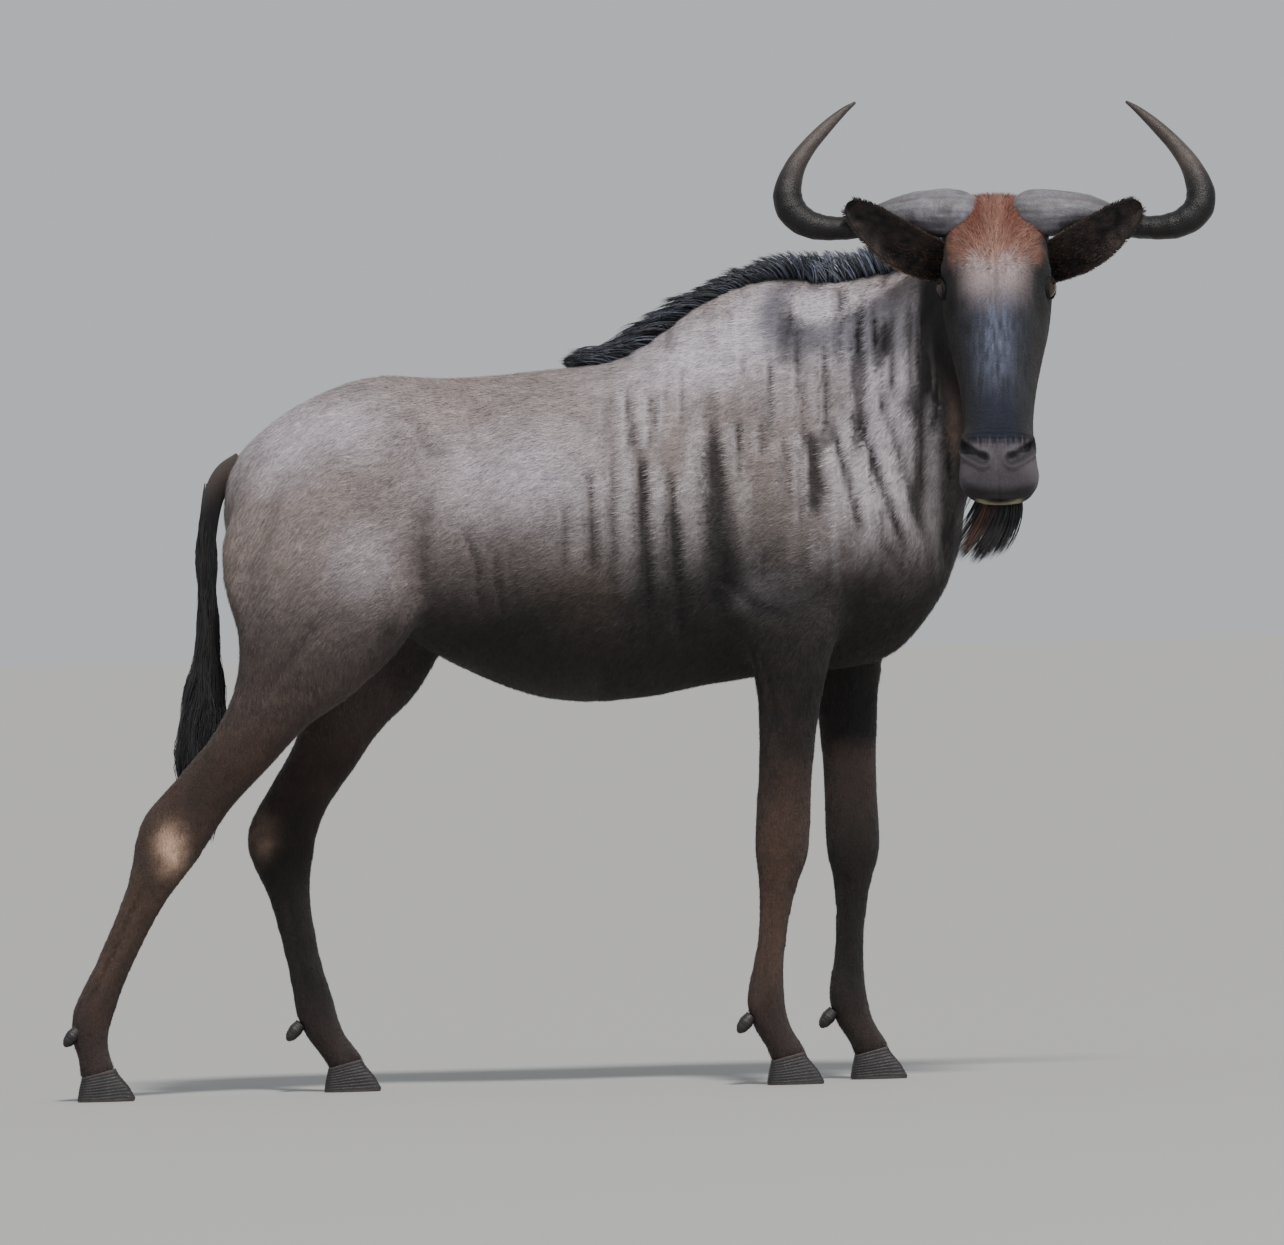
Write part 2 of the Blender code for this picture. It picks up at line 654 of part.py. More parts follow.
def ear(name, hand):
    """An ear: a leaf rolled to a cup that opens forward, with a wall of even thickness."""
    line = spline([off_forehead(hand * s, up, fwd) for s, up, fwd in (EAR_ROOT, EAR_MIDDLE, EAR_TIP)], 13)
    along = unit(np.gradient(line, axis=0))
    opening = unit(0.88 * LEVEL + 0.25 * hand * SIDE - 0.30 * np.array([0.0, 0.0, 1.0]))
    across = unit(np.cross(along, opening))
    opening = np.cross(across, along)
    length = np.linspace(0.0, 1.0, len(line))
    half = EAR_HALF_WIDTH * np.clip(np.sin(math.pi * (0.10 + 0.90 * length) ** 0.80), 0.0, 1.0) ** 0.42 + 0.0025
    depth = 0.020 * (1.0 - length) ** 0.6 + 0.007
    spread = np.linspace(-1.0, 1.0, 7)
    outer = (spread, (1.0 - spread**2))
    rings = []
    for row in range(len(line)):
        wide, deep = half[row], min(depth[row], half[row])
        inner = max(wide - EAR_WALL, 0.3 * wide), max(deep - EAR_WALL, 0.25 * deep)
        back = [line[row] + wide * s * across[row] - deep * d * opening[row] for s, d in zip(*outer)]
        hollow = [line[row] + inner[0] * s * across[row] - inner[1] * d * opening[row]
                  for s, d in zip(spread[::-1], 1.0 - spread[::-1] ** 2)]
        rings.append(back + hollow)
    return loft(name, rings, strips=True)


def ball(name, centre, radius, segments=12, rings=8):
    """A round ball."""
    shape = bmesh.new()
    bmesh.ops.create_uvsphere(shape, u_segments=segments, v_segments=rings, radius=radius,
                              matrix=Matrix.Translation(np.asarray(centre).tolist()))
    mesh = bpy.data.meshes.new(name)
    shape.to_mesh(mesh)
    shape.free()
    return new_object(name, mesh)


def bead_chain(name, points, across, halves, heights, count=9):
    """A bent bar of oval section through given points, for cutting or raising a line."""
    rows = spline(np.column_stack([points, halves, heights]), count)
    centres = rows[:, :3]
    along = unit(np.gradient(centres, axis=0))
    across = unit(np.asarray(across) - np.sum(along * across, axis=1, keepdims=True) * along)
    upright = np.cross(along, across)
    rings = rings_of(centres, across, upright, rows[:, 3], rows[:, 4], rows[:, 4], np.full(len(rows), 2.0), 6)
    return loft(name, rings, 0.001)


def shape_head(head):
    """Adds lids, brows and lips to the head and cuts sockets, nostrils and the mouth line."""
    raised, cut = [], []
    for hand in (-1, 1):
        centre = in_head(hand * EYE[0], EYE[1], EYE[2])
        look = unit(hand * 0.90 * SIDE + 0.42 * OUT_FACE + 0.05 * DOWN_FACE)
        raised.append(ball("lid_ball", centre, EYE_RADIUS + LID))
        corner = unit(np.cross(look, OUT_FACE * 0.95 + SIDE * 0.3 * hand))
        slit = [centre + EYE_RADIUS * 1.25 * look + corner * step for step in (-0.014, -0.007, 0.0, 0.007, 0.014)]
        cut.append(bead_chain("lid_slit", slit, look, (0.007, 0.010, 0.011, 0.010, 0.007),
                              (0.0025, 0.0068, 0.0085, 0.0068, 0.0025)))
        nostril = [in_head(hand * s, d, n) for s, d, n in
                   ((0.026, 0.412, -0.014), (0.038, 0.406, -0.014), (0.050, 0.396, -0.022), (0.057, 0.384, -0.036))]
        cut.append(bead_chain("nostril", nostril, OUT_FACE, (0.008, 0.013, 0.014, 0.008),
                              (0.0045, 0.0075, 0.0065, 0.003)))
        lip = [in_head(hand * s, d, n) for s, d, n in
               ((0.000, 0.470, -0.072), (0.022, 0.467, -0.075), (0.044, 0.455, -0.083), (0.058, 0.436, -0.090),
                (0.064, 0.412, -0.095), (0.063, 0.384, -0.098))]
        cut.append(bead_chain("mouth_line", lip, DOWN_FACE, (0.0026, 0.0026, 0.0024, 0.0022, 0.0018, 0.0012),
                              (0.007, 0.007, 0.007, 0.007, 0.006, 0.004)))
        cut.append(ball("socket", centre, EYE_RADIUS + GAP))
    combine(head, raised, "UNION")
    combine(head, cut, "DIFFERENCE")
    return largest_surface(head)


def claw(name, toe_x, side_y, hand, z_top):
    """Half a cloven hoof: flat sole, sloping toe wall, cut square to the coronet."""
    length, half = 0.092, 0.0155
    rings = []
    for level, scale, back in ((0.0, 0.97, 0.0), (0.004, 1.0, 0.0), (0.022, 0.93, 0.006),
                               (0.042, 0.82, 0.017), (z_top + 0.03, 0.74, 0.028)):
        cosine, sine = arc_section(10, 2.4)
        along = length * (cosine * scale - 1.0) / 2 - back * (cosine * 0.5 + 0.5)
        toe = np.clip((along / length + 1.0), 0.0, 1.0)
        across = half * scale * sine * (1.0 - 0.42 * toe**2)
        rings.append(np.stack([toe_x + along, side_y + across, np.full(10, level)], axis=1))
    hoof = loft(name, rings)
    centre = (toe_x - length / 2 - 0.01, side_y, z_top)
    tilt = (math.sin(CORONET_SLOPE), 0.0, -math.cos(CORONET_SLOPE))
    combine(hoof, [block(centre, tilt, (0.0, 1.0, 0.0), 0.4, 0.4, 0.3, -GAP / 2)], "INTERSECT")
    return largest_surface(hoof)


def dewclaw(name, centre, hand, back):
    """A small blunt horn cone behind the fetlock."""
    down = unit(np.array([-0.62 * back, 0.10 * hand, -0.75]))
    points = [np.asarray(centre) + down * step for step in (-0.014, 0.0, 0.013, 0.021)]
    return bead_chain(name, points, (0.0, 1.0, 0.0), (0.011, 0.0115, 0.009, 0.003),
                      (0.012, 0.012, 0.009, 0.003), 4)


def tail_bone():
    """The tail's dock: a tapered round rod, hanging close behind the rump."""
    rows = spline(TAIL, 15)
    along = unit(np.gradient(rows[:, :3], axis=0))
    across = np.tile([0.0, 1.0, 0.0], (len(rows), 1))
    forward = unit(np.cross(along, across))
    radius = rows[:, 3]
    return loft("tail", rings_of(rows[:, :3], across, forward, radius, radius, radius, np.full(len(rows), 2.0), 8))


def lock(path, wide_way, half_width, half_thick):
    """A flat lock of hair along a bent path, tapered to its tip."""
    rows = spline(path, len(LOCK_TAPER))
    along = unit(np.gradient(rows, axis=0))
    across = unit(np.asarray(wide_way) - np.sum(along * wide_way, axis=1, keepdims=True) * along)
    upright = np.cross(along, across)
    taper = np.array(LOCK_TAPER)
    rings = rings_of(rows, across, upright, half_width * taper, half_thick * taper, half_thick * taper,
                     np.full(len(rows), 2.0), 4)
    return loft("lock", rings, 0.002)


def tail_tuft(draw):
    """The tuft at the tail's end: hanging locks round a slim core, out to the tips of its hair."""
    rows = spline(TUFT, 13)
    across = np.tile([0.0, 1.0, 0.0], (len(rows), 1))
    forward = np.tile([1.0, 0.0, 0.0], (len(rows), 1))
    slim = np.maximum(rows[:, 3:] * CORE_SHARE, 0.004)
    slim[:3] = np.maximum(slim[:3], 0.0135)
    core = loft("tail_tuft", rings_of(rows[:, :3], across, forward, slim[:, 1], slim[:, 0], slim[:, 0],
                                      np.full(len(rows), 2.0), 6))
    height = rows[::-1, 2]
    top, bottom = rows[0, 2], rows[-1, 2]
    locks = []
    for number in range(TUFT_LOCKS):
        share = number / (TUFT_LOCKS - 1.0)
        angle = number * 2.399963
        start = top - 0.02 - share * 0.62 * (top - bottom)
        end = max(start - draw.uniform(0.14, 0.19), bottom + 0.035 * abs(math.sin(angle)))
        round_it = np.array([math.cos(angle), math.sin(angle)])
        path = []
        for level, spread in ((start, 0.35), (0.5 * (start + end), 0.85), (end, draw.uniform(0.75, 0.98))):
            middle = np.interp(level, height, rows[::-1, 0])
            reach = [np.interp(level, height, rows[::-1, 3 + k]) * spread for k in (0, 1)]
            path.append((middle + round_it[0] * reach[0], round_it[1] * reach[1], level))
        locks.append(lock(path, (-round_it[1], round_it[0], 0.0), *TUFT_LOCK))
    return combine(core, locks, "UNION")


def crest_line(tree, count):
    """Points on the skin along the crest, with the mane's height and lie at each."""
    rows = spline(MANE, count)
    points = []
    for x, y in rows[:, :2]:
        hit = tree.ray_cast(Vector((x, y, 2.0)), Vector((0.0, 0.0, -1.0)))[0]
        points.append((x, y, hit.z))
    return np.array(points), rows[:, 2], rows[:, 3]


def mane(tree, draw):
    """The mane: locks in two rows on a low ridge along the crest, out to their tips."""
    points, height, lie = crest_line(tree, 41)
    along = unit(np.gradient(points, axis=0))
    across = unit(np.cross([0.0, 0.0, 1.0], along))
    upright = np.cross(along, across)
    width = MANE_HALF_WIDTH * np.clip(height / 0.03, 0.3, 1.0)
    rings = rings_of(points, across, upright, width, height * CORE_SHARE, np.full(len(points), 0.012),
                     np.full(len(points), 1.6), 8)
    core = loft("mane", rings[::2])
    locks = []
    last = len(points) - 1.0
    for number in range(2 * MANE_LOCKS):
        side = 1 if number % 2 else -1
        place = last * (number // 2 + 0.75 + 0.5 * (number % 2)) / (MANE_LOCKS + 1.0)
        row = int(round(place))
        tall = height[row] * draw.uniform(0.86, 1.04)
        back = -along[row] * lie[row] * tall
        lean = side * draw.uniform(0.35, 1.0) * across[row] * width[row]
        root = points[row] + side * 0.35 * width[row] * across[row]
        path = (root - 0.008 * upright[row] - 0.2 * back,
                root + 0.55 * tall * upright[row] + 0.5 * lean + 0.3 * back,
                points[row] + tall * upright[row] + lean + back)
        locks.append(lock(path, along[row] + 0.35 * side * across[row], *MANE_LOCK))
    return combine(core, locks, "UNION")


def beard(draw):
    """The beard: hanging locks in three columns on a short fringe under the jaw."""
    rows = spline(BEARD, 17)
    hang = np.array([0.0, 0.0, -1.0])
    cosine, sine = arc_section(8, 1.8)
    rings = []
    for down, out, length, curl in rows:
        root = in_head(0.0, down, out + 0.016)
        half = 0.026 * length / 0.1
        reach = length * CORE_SHARE
        rings.append(root + hang * reach / 2 + half * cosine[:, None] * SIDE
                     - (reach / 2 + 0.008) * sine[:, None] * hang)
    core = loft("beard", np.array(rings), 0.004)
    locks = []
    for number in range(BEARD_ROWS * len(BEARD_COLUMNS)):
        line, column = divmod(number, len(BEARD_COLUMNS))
        row = (line + 0.5) * (len(rows) - 1.0) / BEARD_ROWS + draw.uniform(-0.4, 0.4)
        down, out, length, curl = (np.interp(row, np.arange(len(rows)), rows[:, k]) for k in range(4))
        side = BEARD_COLUMNS[column] * min(length / 0.1, 1.0)
        length *= draw.uniform(0.82, 1.0) if column != 1 else 1.0
        root = in_head(side * 0.7, down, out + 0.012)
        path = (root,
                root + 0.5 * length * hang + 0.4 * side * SIDE,
                root + (length + 0.004) * hang + (0.7 * side - curl) * SIDE)
        locks.append(lock(path, SIDE + 0.8 * draw.uniform(-1.0, 1.0) * LEVEL, *BEARD_LOCK))
    return combine(core, locks, "UNION")


def finish(thing, kind):
    """Gives an object its material and smooth shading across gentle edges."""
    colour, roughness = FINISHES[kind]
    material = bpy.data.materials.get(kind)
    if material is None:
        material = bpy.data.materials.new(kind)
        material.use_nodes = True
        shader = material.node_tree.nodes["Principled BSDF"]
        shader.inputs["Base Color"].default_value = (*colour, 1.0)
        shader.inputs["Roughness"].default_value = roughness
        shader.inputs["Metallic"].default_value = 0.0
    thing.data.materials.clear()
    thing.data.materials.append(material)
    thing.data.shade_smooth()
    thing.data.set_sharp_from_angle(angle=math.radians(50.0))


def leg_nodes(flesh, name, hand, girths, joints):
    """Parts a leg off the trunk, and its lower half off the upper; returns the pieces."""
    line = np.array(joints) * (1, hand, 1)
    wide = (0.0, 1.0, 0.0)
    if name.startswith("foreleg"):
        top = part_off(flesh, name + "_upper", (line[2][0], hand * 0.15, 0.640), (0.0, 0.0, -1.0), wide,
                       0.20, 0.298, 1.0)
        knee = line[2] + np.array([0.0, 0.0, 0.055])
        lower = part_off(top, name + "_lower", knee, (0.0, 0.0, -1.0), wide, 0.5, 0.5, 1.0)
    else:
        slope = math.atan2(0.110, 0.380)
        into = (-math.sin(slope), 0.0, -math.cos(slope))
        start = np.array([-0.297 - 0.40, hand * 0.15, 0.692 + 0.40 * math.tan(slope)])
        top = part_off(flesh, name + "_upper", start, into, wide, 0.80, 0.298, 1.4,
                       reach=(0.0, 0.0, -1.0))
        gaskin = unit(line[2] - line[1]) * (1, 0, 1)
        lower = part_off(top, name + "_lower", line[2] - 0.05 * gaskin, gaskin, wide, 1.4, 0.5, 1.0)
    return top, lower


def hoof_nodes(name, hand, joints, lower):
    """Cuts a lower leg at the coronet and sets two claws and two dewclaws on it."""
    coronet = np.array(joints[-1]) * (1, hand, 1)
    tilt = (math.sin(CORONET_SLOPE), 0.0, -math.cos(CORONET_SLOPE))
    cut_at = (coronet[0] + 0.004, coronet[1], CORONET)
    combine(lower, [block(cut_at, tilt, (0.0, 1.0, 0.0), 0.4, 0.4, 0.3, GAP / 2)], "DIFFERENCE")
    largest_surface(lower)
    pieces = []
    for side in (-1, 1):
        word = "inner" if side == -hand else "outer"
        toe_x = coronet[0] + 0.060
        pieces.append(claw(f"{name}_hoof_{word}", toe_x, coronet[1] + side * 0.0172, hand, CORONET))
        fetlock = np.array(joints[-2]) * (1, hand, 1)
        place = fetlock + np.array([-0.034, side * 0.014, -0.034])
        pieces.append(stand_on(dewclaw(f"{name}_dewclaw_{word}", place, side, 1.0), lower))
    return pieces


def part_flesh(flesh):
    """Cuts the whole skin into torso, neck, head and legs, and adds the hooves."""
    nodes = []
    head = part_off(flesh, "head", (0.580, -0.130, 1.200), (0.36, -0.93, 0.06), (0.0, 0.0, 1.0), 0.60, 0.90, 0.8)
    nodes.append((shape_head(head), "face"))
    neck_plane = (0.410, 0.0, 1.075)
    neck = part_off(flesh, "neck", neck_plane, (0.55, 0.0, 0.30), (0.0, 1.0, 0.0), 1.4, 0.8, 0.8)
    nodes.append((neck, "coat"))
    for name, (hand, girths, joints) in LEGS.items():
        top, lower = leg_nodes(flesh, name, hand, girths, joints)
        nodes.append((largest_surface(top), "coat" if name.startswith("hind") else "leg_coat"))
        nodes += [(piece, "hoof") for piece in hoof_nodes(name, hand, joints, lower)]
        nodes.append((lower, "leg_coat"))
    flesh.name = "torso"
    nodes.append((largest_surface(flesh), "coat"))
    return nodes


def box_of(things):
    """Lowest and highest corner of the box round some objects' meshes."""
    points = np.vstack([read_points(thing.data) for thing in things])
    return points.min(axis=0), points.max(axis=0)


def settle(things):
    """Gives each object an origin in its middle and hangs all of them on one empty.

    The empty stands under the middle of the whole animal's box, which becomes the world's origin.
    """
    stand = bpy.data.objects.new("stand", None)
    bpy.context.scene.collection.objects.link(stand)
    low, high = box_of(things)
    under = np.array([(low[0] + high[0]) / 2, (low[1] + high[1]) / 2, 0.0])
    for thing in things:
        low, high = box_of([thing])
        middle = (low + high) / 2
        write_points(thing.data, read_points(thing.data) - middle)
        thing.parent = stand
        thing.location = middle - under


def head_gear(whole):
    """Horns, ears and eyes of both sides, with the kind of finish of each."""
    nodes = []
    for hand, word in ((-1, "right"), (1, "left")):
        nodes.append((stand_on(horn("horn_" + word, hand), whole), "horn"))
        nodes.append((stand_on(ear("ear_" + word, hand), whole), "face"))
        nodes.append((ball("eye_" + word, in_head(hand * EYE[0], EYE[1], EYE[2]), EYE_RADIUS), "eye"))
    return nodes


def main():
    """Builds the animal: flesh first, then what stands on it, then finishes and places."""
    for thing in list(bpy.data.objects):
        bpy.data.objects.remove(thing, do_unlink=True)
    draw = random.Random(SEED)
    flesh = make_flesh()
    whole = copy_of(flesh, "whole")
    tree = BVHTree.FromPolygons([v.co.copy() for v in whole.data.vertices],
                                [tuple(p.vertices) for p in whole.data.polygons])
    nodes = part_flesh(flesh) + head_gear(whole)
    tail = stand_on(tail_bone(), whole)
    nodes.append((tail, "black_hair"))
    nodes.append((stand_on(tail_tuft(draw), tail), "black_hair"))
    nodes.append((stand_on(mane(tree, draw), whole), "black_hair"))
    nodes.append((stand_on(beard(draw), whole), "black_hair"))
    remove(whole)
    for thing, kind in nodes:
        finish(thing, kind)
    settle([thing for thing, kind in nodes])


main()
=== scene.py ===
"""A standing wildebeest, dressed for viewing from all sides.

One skin lies a coat's depth inside the solids and carries the fur; horns, ears, eyes, claws and
the long hair of mane, beard and tail stand on it. Lengths are metres, +X runs to the front of the
body, +Y to the animal's left, +Z up. Shapes are worked out in the body's own frame, whose origin
lies on the midline, and are moved to the model's frame as they become meshes.
"""

import logging
import math
from dataclasses import dataclass, field
from enum import Enum

import bmesh
import bpy
import numpy as np
from mathutils import Matrix, Vector
from mathutils.bvhtree import BVHTree


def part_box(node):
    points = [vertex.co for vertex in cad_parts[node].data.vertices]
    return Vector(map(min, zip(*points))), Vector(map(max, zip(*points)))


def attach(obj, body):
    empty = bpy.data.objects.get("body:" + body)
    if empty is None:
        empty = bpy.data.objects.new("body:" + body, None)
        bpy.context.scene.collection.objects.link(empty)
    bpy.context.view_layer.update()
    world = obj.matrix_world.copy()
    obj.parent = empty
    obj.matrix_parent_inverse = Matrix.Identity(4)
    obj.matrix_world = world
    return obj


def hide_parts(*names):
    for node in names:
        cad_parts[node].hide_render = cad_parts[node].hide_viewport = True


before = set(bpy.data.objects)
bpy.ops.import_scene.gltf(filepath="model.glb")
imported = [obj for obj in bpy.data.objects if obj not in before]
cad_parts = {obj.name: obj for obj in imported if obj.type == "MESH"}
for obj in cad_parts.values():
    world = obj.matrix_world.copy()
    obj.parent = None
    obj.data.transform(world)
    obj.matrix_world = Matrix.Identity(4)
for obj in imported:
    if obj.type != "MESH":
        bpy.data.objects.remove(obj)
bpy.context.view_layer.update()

Array = np.ndarray
Rows = tuple[tuple[float, ...], ...]
LOG = logging.getLogger("wildebeest")
LEFT = np.array([0.0, 1.0, 0.0])
UP = np.array([0.0, 0.0, 1.0])


class Side(Enum):
    """The animal's right and left, as the sign of Y."""

    RIGHT = -1
    LEFT = 1

    @property
    def word(self) -> str:
        """The side as a word in names."""
        return self.name.lower()


def unit(vectors: Array) -> Array:
    """Vectors scaled to length one.

    Args:
        vectors: Vectors along the last axis.
    Returns:
        The same directions with length one.
    """
    vectors = np.asarray(vectors, dtype=float)
    return vectors / np.maximum(np.linalg.norm(vectors, axis=-1, keepdims=True), 1e-12)


def ramp(low: float, high: float, value: Array) -> Array:
    """A smooth step: 0 under low, 1 over high, cubic between.

    Args:
        low: Where the step begins.
        high: Where it ends.
        value: Numbers to read it at.
    Returns:
        The step's height at each number.
    """
    share = np.clip((np.asarray(value, dtype=float) - low) / (high - low), 0.0, 1.0)
    return share * share * (3.0 - 2.0 * share)


def bell(value: Array, centre: float, width: float) -> Array:
    """A bell curve of each number: 1 at centre, a share 1/e of that a width away."""
    return np.exp(-(((value - centre) / width) ** 2))


def linear(red: float, green: float, blue: float) -> Array:
    """A colour given as screen values of 0 to 255, as linear light."""
    screen = np.array([red, green, blue], dtype=float) / 255.0
    return np.where(screen <= 0.04045, screen / 12.92, ((screen + 0.055) / 1.055) ** 2.4)


def mix(first: Array, second: Array, share: Array) -> Array:
    """Colours blended from first to second by a share for each row."""
    share = np.clip(share, 0.0, 1.0)[:, None]
    return first * (1.0 - share) + second * share


def wash(colours: Array, screen: tuple[int, int, int], share: Array) -> Array:
    """Colours blended toward one screen colour by a share for each row."""
    return mix(colours, linear(*screen)[None], share)


def between(first: tuple[int, int, int], second: tuple[int, int, int], share: Array) -> Array:
    """Colours between two screen colours by a share for each row."""
    return mix(linear(*first)[None], linear(*second)[None], share)


def noise(points: Array, size: float, seed: int = 0) -> Array:
    """Smooth random values from -1 to 1: hashed values on a cubic lattice, blended between corners.

    Args:
        points: Where to read the noise.
        size: Length of a lattice cell, or one length an axis.
        seed: Chooses another field.
    Returns:
        One value a point.
    """
    cell = points / size + seed * 17.31
    base = np.floor(cell).astype(np.int64)
    part = cell - base
    part = part * part * (3.0 - 2.0 * part)
    total = np.zeros(len(points))
    for corner in range(8):
        step = np.array([corner & 1, corner >> 1 & 1, corner >> 2 & 1])
        at = base + step
        mixed = (at[:, 0] * 73856093) ^ (at[:, 1] * 19349663) ^ (at[:, 2] * 83492791) ^ (seed * 668265263)
        mixed = ((mixed ^ (mixed >> 13)) * 1274126177) & 0xFFFFFFFF
        value = ((mixed >> 8) & 0xFFFF) / 32767.5 - 1.0
        total += value * np.prod(np.where(step == 1, part, 1.0 - part), axis=1)
    return total


def spline(rows: Array | Rows, count: int) -> Array:
    """Rows of numbers resampled evenly along a Catmull-Rom curve through them.

    Args:
        rows: The rows to pass through.
        count: How many rows to return.
    Returns:
        The resampled rows.
    """
    rows = np.asarray(rows, dtype=float)
    padded = np.vstack([2 * rows[0] - rows[1], rows, 2 * rows[-1] - rows[-2]])
    places = np.linspace(0.0, len(rows) - 1.0, count)
    index = np.minimum(places.astype(int), len(rows) - 2)
    t = (places - index)[:, None]
    a, b, c, d = (padded[index + k] for k in range(4))
    return 0.5 * (2 * b + (c - a) * t + (2 * a - 5 * b + 4 * c - d) * t**2 + (3 * b - a - 3 * c + d) * t**3)


def oval_rings(centres: Array, across: Array, upright: Array, half: Array, rise: Array, drop: Array,
               power: Array, sides: int) -> Array:
    """Closed rings of points: a superellipse whose upper and lower halves have their own height.

    Args:
        centres: Middle of each ring.
        across: Unit vector of each ring's width, or one for all.
        upright: Unit vector of each ring's height, or one for all.
        half: Half width of each ring.
        rise: Height over the centre.
        drop: Depth under the centre.
        power: Superellipse power of each ring, or one for all; 2 for an oval.
        sides: Points round a ring.
    Returns:
        Points as rings by sides by 3.
    """
    angle = np.linspace(0.0, 2 * math.pi, sides, endpoint=False)
    shape = 2.0 / np.broadcast_to(np.asarray(power, dtype=float), (len(centres),))[:, None]
    cosine = np.sign(np.cos(angle)) * np.abs(np.cos(angle)) ** shape
    sine = np.sign(np.sin(angle)) * np.abs(np.sin(angle)) ** shape
    tall = np.where(sine > 0, np.asarray(rise)[:, None], np.asarray(drop)[:, None]) * sine
    wide = np.asarray(half)[:, None] * cosine
    across, upright = (np.broadcast_to(axis, centres.shape)[:, None, :] for axis in (across, upright))
    return centres[:, None, :] + wide[..., None] * across + tall[..., None] * upright


def tube_faces(count: int, sides: int) -> tuple[Array, Array]:
    """Faces over rings of points that end in two poles, the poles numbered last.

    Args:
        count: How many rings.
        sides: Points round a ring.
    Returns:
        Corner numbers of the quads and of the triangles.
    """
    ring, side = np.meshgrid(np.arange(count - 1), np.arange(sides), indexing="ij")
    after = (side + 1) % sides
    quads = np.stack([ring * sides + side, ring * sides + after,
                      (ring + 1) * sides + after, (ring + 1) * sides + side], axis=-1).reshape(-1, 4)
    side = np.arange(sides)
    after = (side + 1) % sides
    start, end, last = count * sides, count * sides + 1, (count - 1) * sides
    caps = np.vstack([np.stack([np.full(sides, start), after, side], axis=1),
                      np.stack([np.full(sides, end), last + side, last + after], axis=1)])
    return quads, caps


def make_mesh(name: str, points: Array, quads: Array | None = None, triangles: Array | None = None) -> bpy.types.Mesh:
    """A mesh from arrays of points and faces.

    Args:
        name: The mesh's name.
        points: Vertex positions.
        quads: Corner numbers, four a face.
        triangles: Corner numbers, three a face.
    Returns:
        The new mesh.
    """
    quads = np.empty((0, 4), dtype=np.int32) if quads is None else np.asarray(quads, dtype=np.int32)
    triangles = np.empty((0, 3), dtype=np.int32) if triangles is None else np.asarray(triangles, dtype=np.int32)
    corners = np.concatenate([quads.ravel(), triangles.ravel()])
    starts = np.concatenate([np.arange(len(quads)) * 4, quads.size + np.arange(len(triangles)) * 3])
    mesh = bpy.data.meshes.new(name)
    mesh.vertices.add(len(points))
    mesh.vertices.foreach_set("co", np.asarray(points, dtype=np.float32).ravel())
    mesh.loops.add(len(corners))
    mesh.loops.foreach_set("vertex_index", corners)
    mesh.polygons.add(len(starts))
    mesh.polygons.foreach_set("loop_start", starts.astype(np.int32))
    mesh.update(calc_edges=True)
    mesh.validate()
    mesh.shade_smooth()
    return mesh


def loft(name: str, rings: Array, bulge: float = 0.0) -> bpy.types.Mesh:
    """A closed skin over rings of points, with a pole at each end pushed out by bulge.

    Args:
        name: The mesh's name.
        rings: Points as rings by sides by 3.
        bulge: How far each pole stands out of its ring.
    Returns:
        The new mesh, its faces turned outward.
    """
    count, sides = rings.shape[:2]
    first, last = rings[0].mean(axis=0), rings[-1].mean(axis=0)
    poles = np.stack([first - bulge * unit(rings[1].mean(axis=0) - first),
                      last + bulge * unit(last - rings[-2].mean(axis=0))])
    mesh = make_mesh(name, np.vstack([rings.reshape(-1, 3), poles]), *tube_faces(count, sides))
    return face_outward(mesh)


def face_outward(mesh: bpy.types.Mesh) -> bpy.types.Mesh:
    """Turns every face of a closed mesh outward.

    Args:
        mesh: The mesh, which is changed.
    Returns:
        The same mesh.
    """
    shape = bmesh.new()
    shape.from_mesh(mesh)
    bmesh.ops.recalc_face_normals(shape, faces=shape.faces)
    if shape.calc_volume(signed=True) < 0.0:
        bmesh.ops.reverse_faces(shape, faces=shape.faces)
    shape.to_mesh(mesh)
    shape.free()
    return mesh


def join(name: str, meshes: list[bpy.types.Mesh]) -> bpy.types.Mesh:
    """One mesh that holds several, which are removed.

    Args:
        name: The mesh's name.
        meshes: The meshes to hold.
    Returns:
        The new mesh.
    """
    shape = bmesh.new()
    for mesh in meshes:
        shape.from_mesh(mesh)
    joined = bpy.data.meshes.new(name)
    shape.to_mesh(joined)
    shape.free()
    for mesh in meshes:
        bpy.data.meshes.remove(mesh)
    joined.shade_smooth()
    return joined


def read(mesh: bpy.types.Mesh, normals: bool = False) -> Array:
    """Vertex positions of a mesh, or its vertex normals, as an array."""
    values = np.empty(len(mesh.vertices) * 3, dtype=np.float32)
    if normals:
        mesh.vertex_normals.foreach_get("vector", values)
    else:
        mesh.vertices.foreach_get("co", values)
    return values.reshape(-1, 3).astype(float)


def write(mesh: bpy.types.Mesh, points: Array) -> None:
    """Sets the vertex positions of a mesh."""
    mesh.vertices.foreach_set("co", np.asarray(points, dtype=np.float32).ravel())
    mesh.update()


def relax(mesh: bpy.types.Mesh, weights: Array, rounds: int) -> None:
    """Moves each vertex toward the mean of its neighbours.

    Args:
        mesh: The mesh to smooth.
        weights: How far each vertex goes in a round, from 0 to 1.
        rounds: How often.
    """
    points = read(mesh)
    edges = np.empty(len(mesh.edges) * 2, dtype=np.int32)
    mesh.edges.foreach_get("vertices", edges)
    edges = edges.reshape(-1, 2)
    total = len(points)
    degree = np.maximum(np.bincount(edges.ravel(), minlength=total), 1)
    for _ in range(rounds):
        mean = np.stack([(np.bincount(edges[:, 0], points[edges[:, 1], axis], total)
                          + np.bincount(edges[:, 1], points[edges[:, 0], axis], total)) / degree
                         for axis in range(3)], axis=1)
        points += weights[:, None] * (mean - points)
    write(mesh, points)


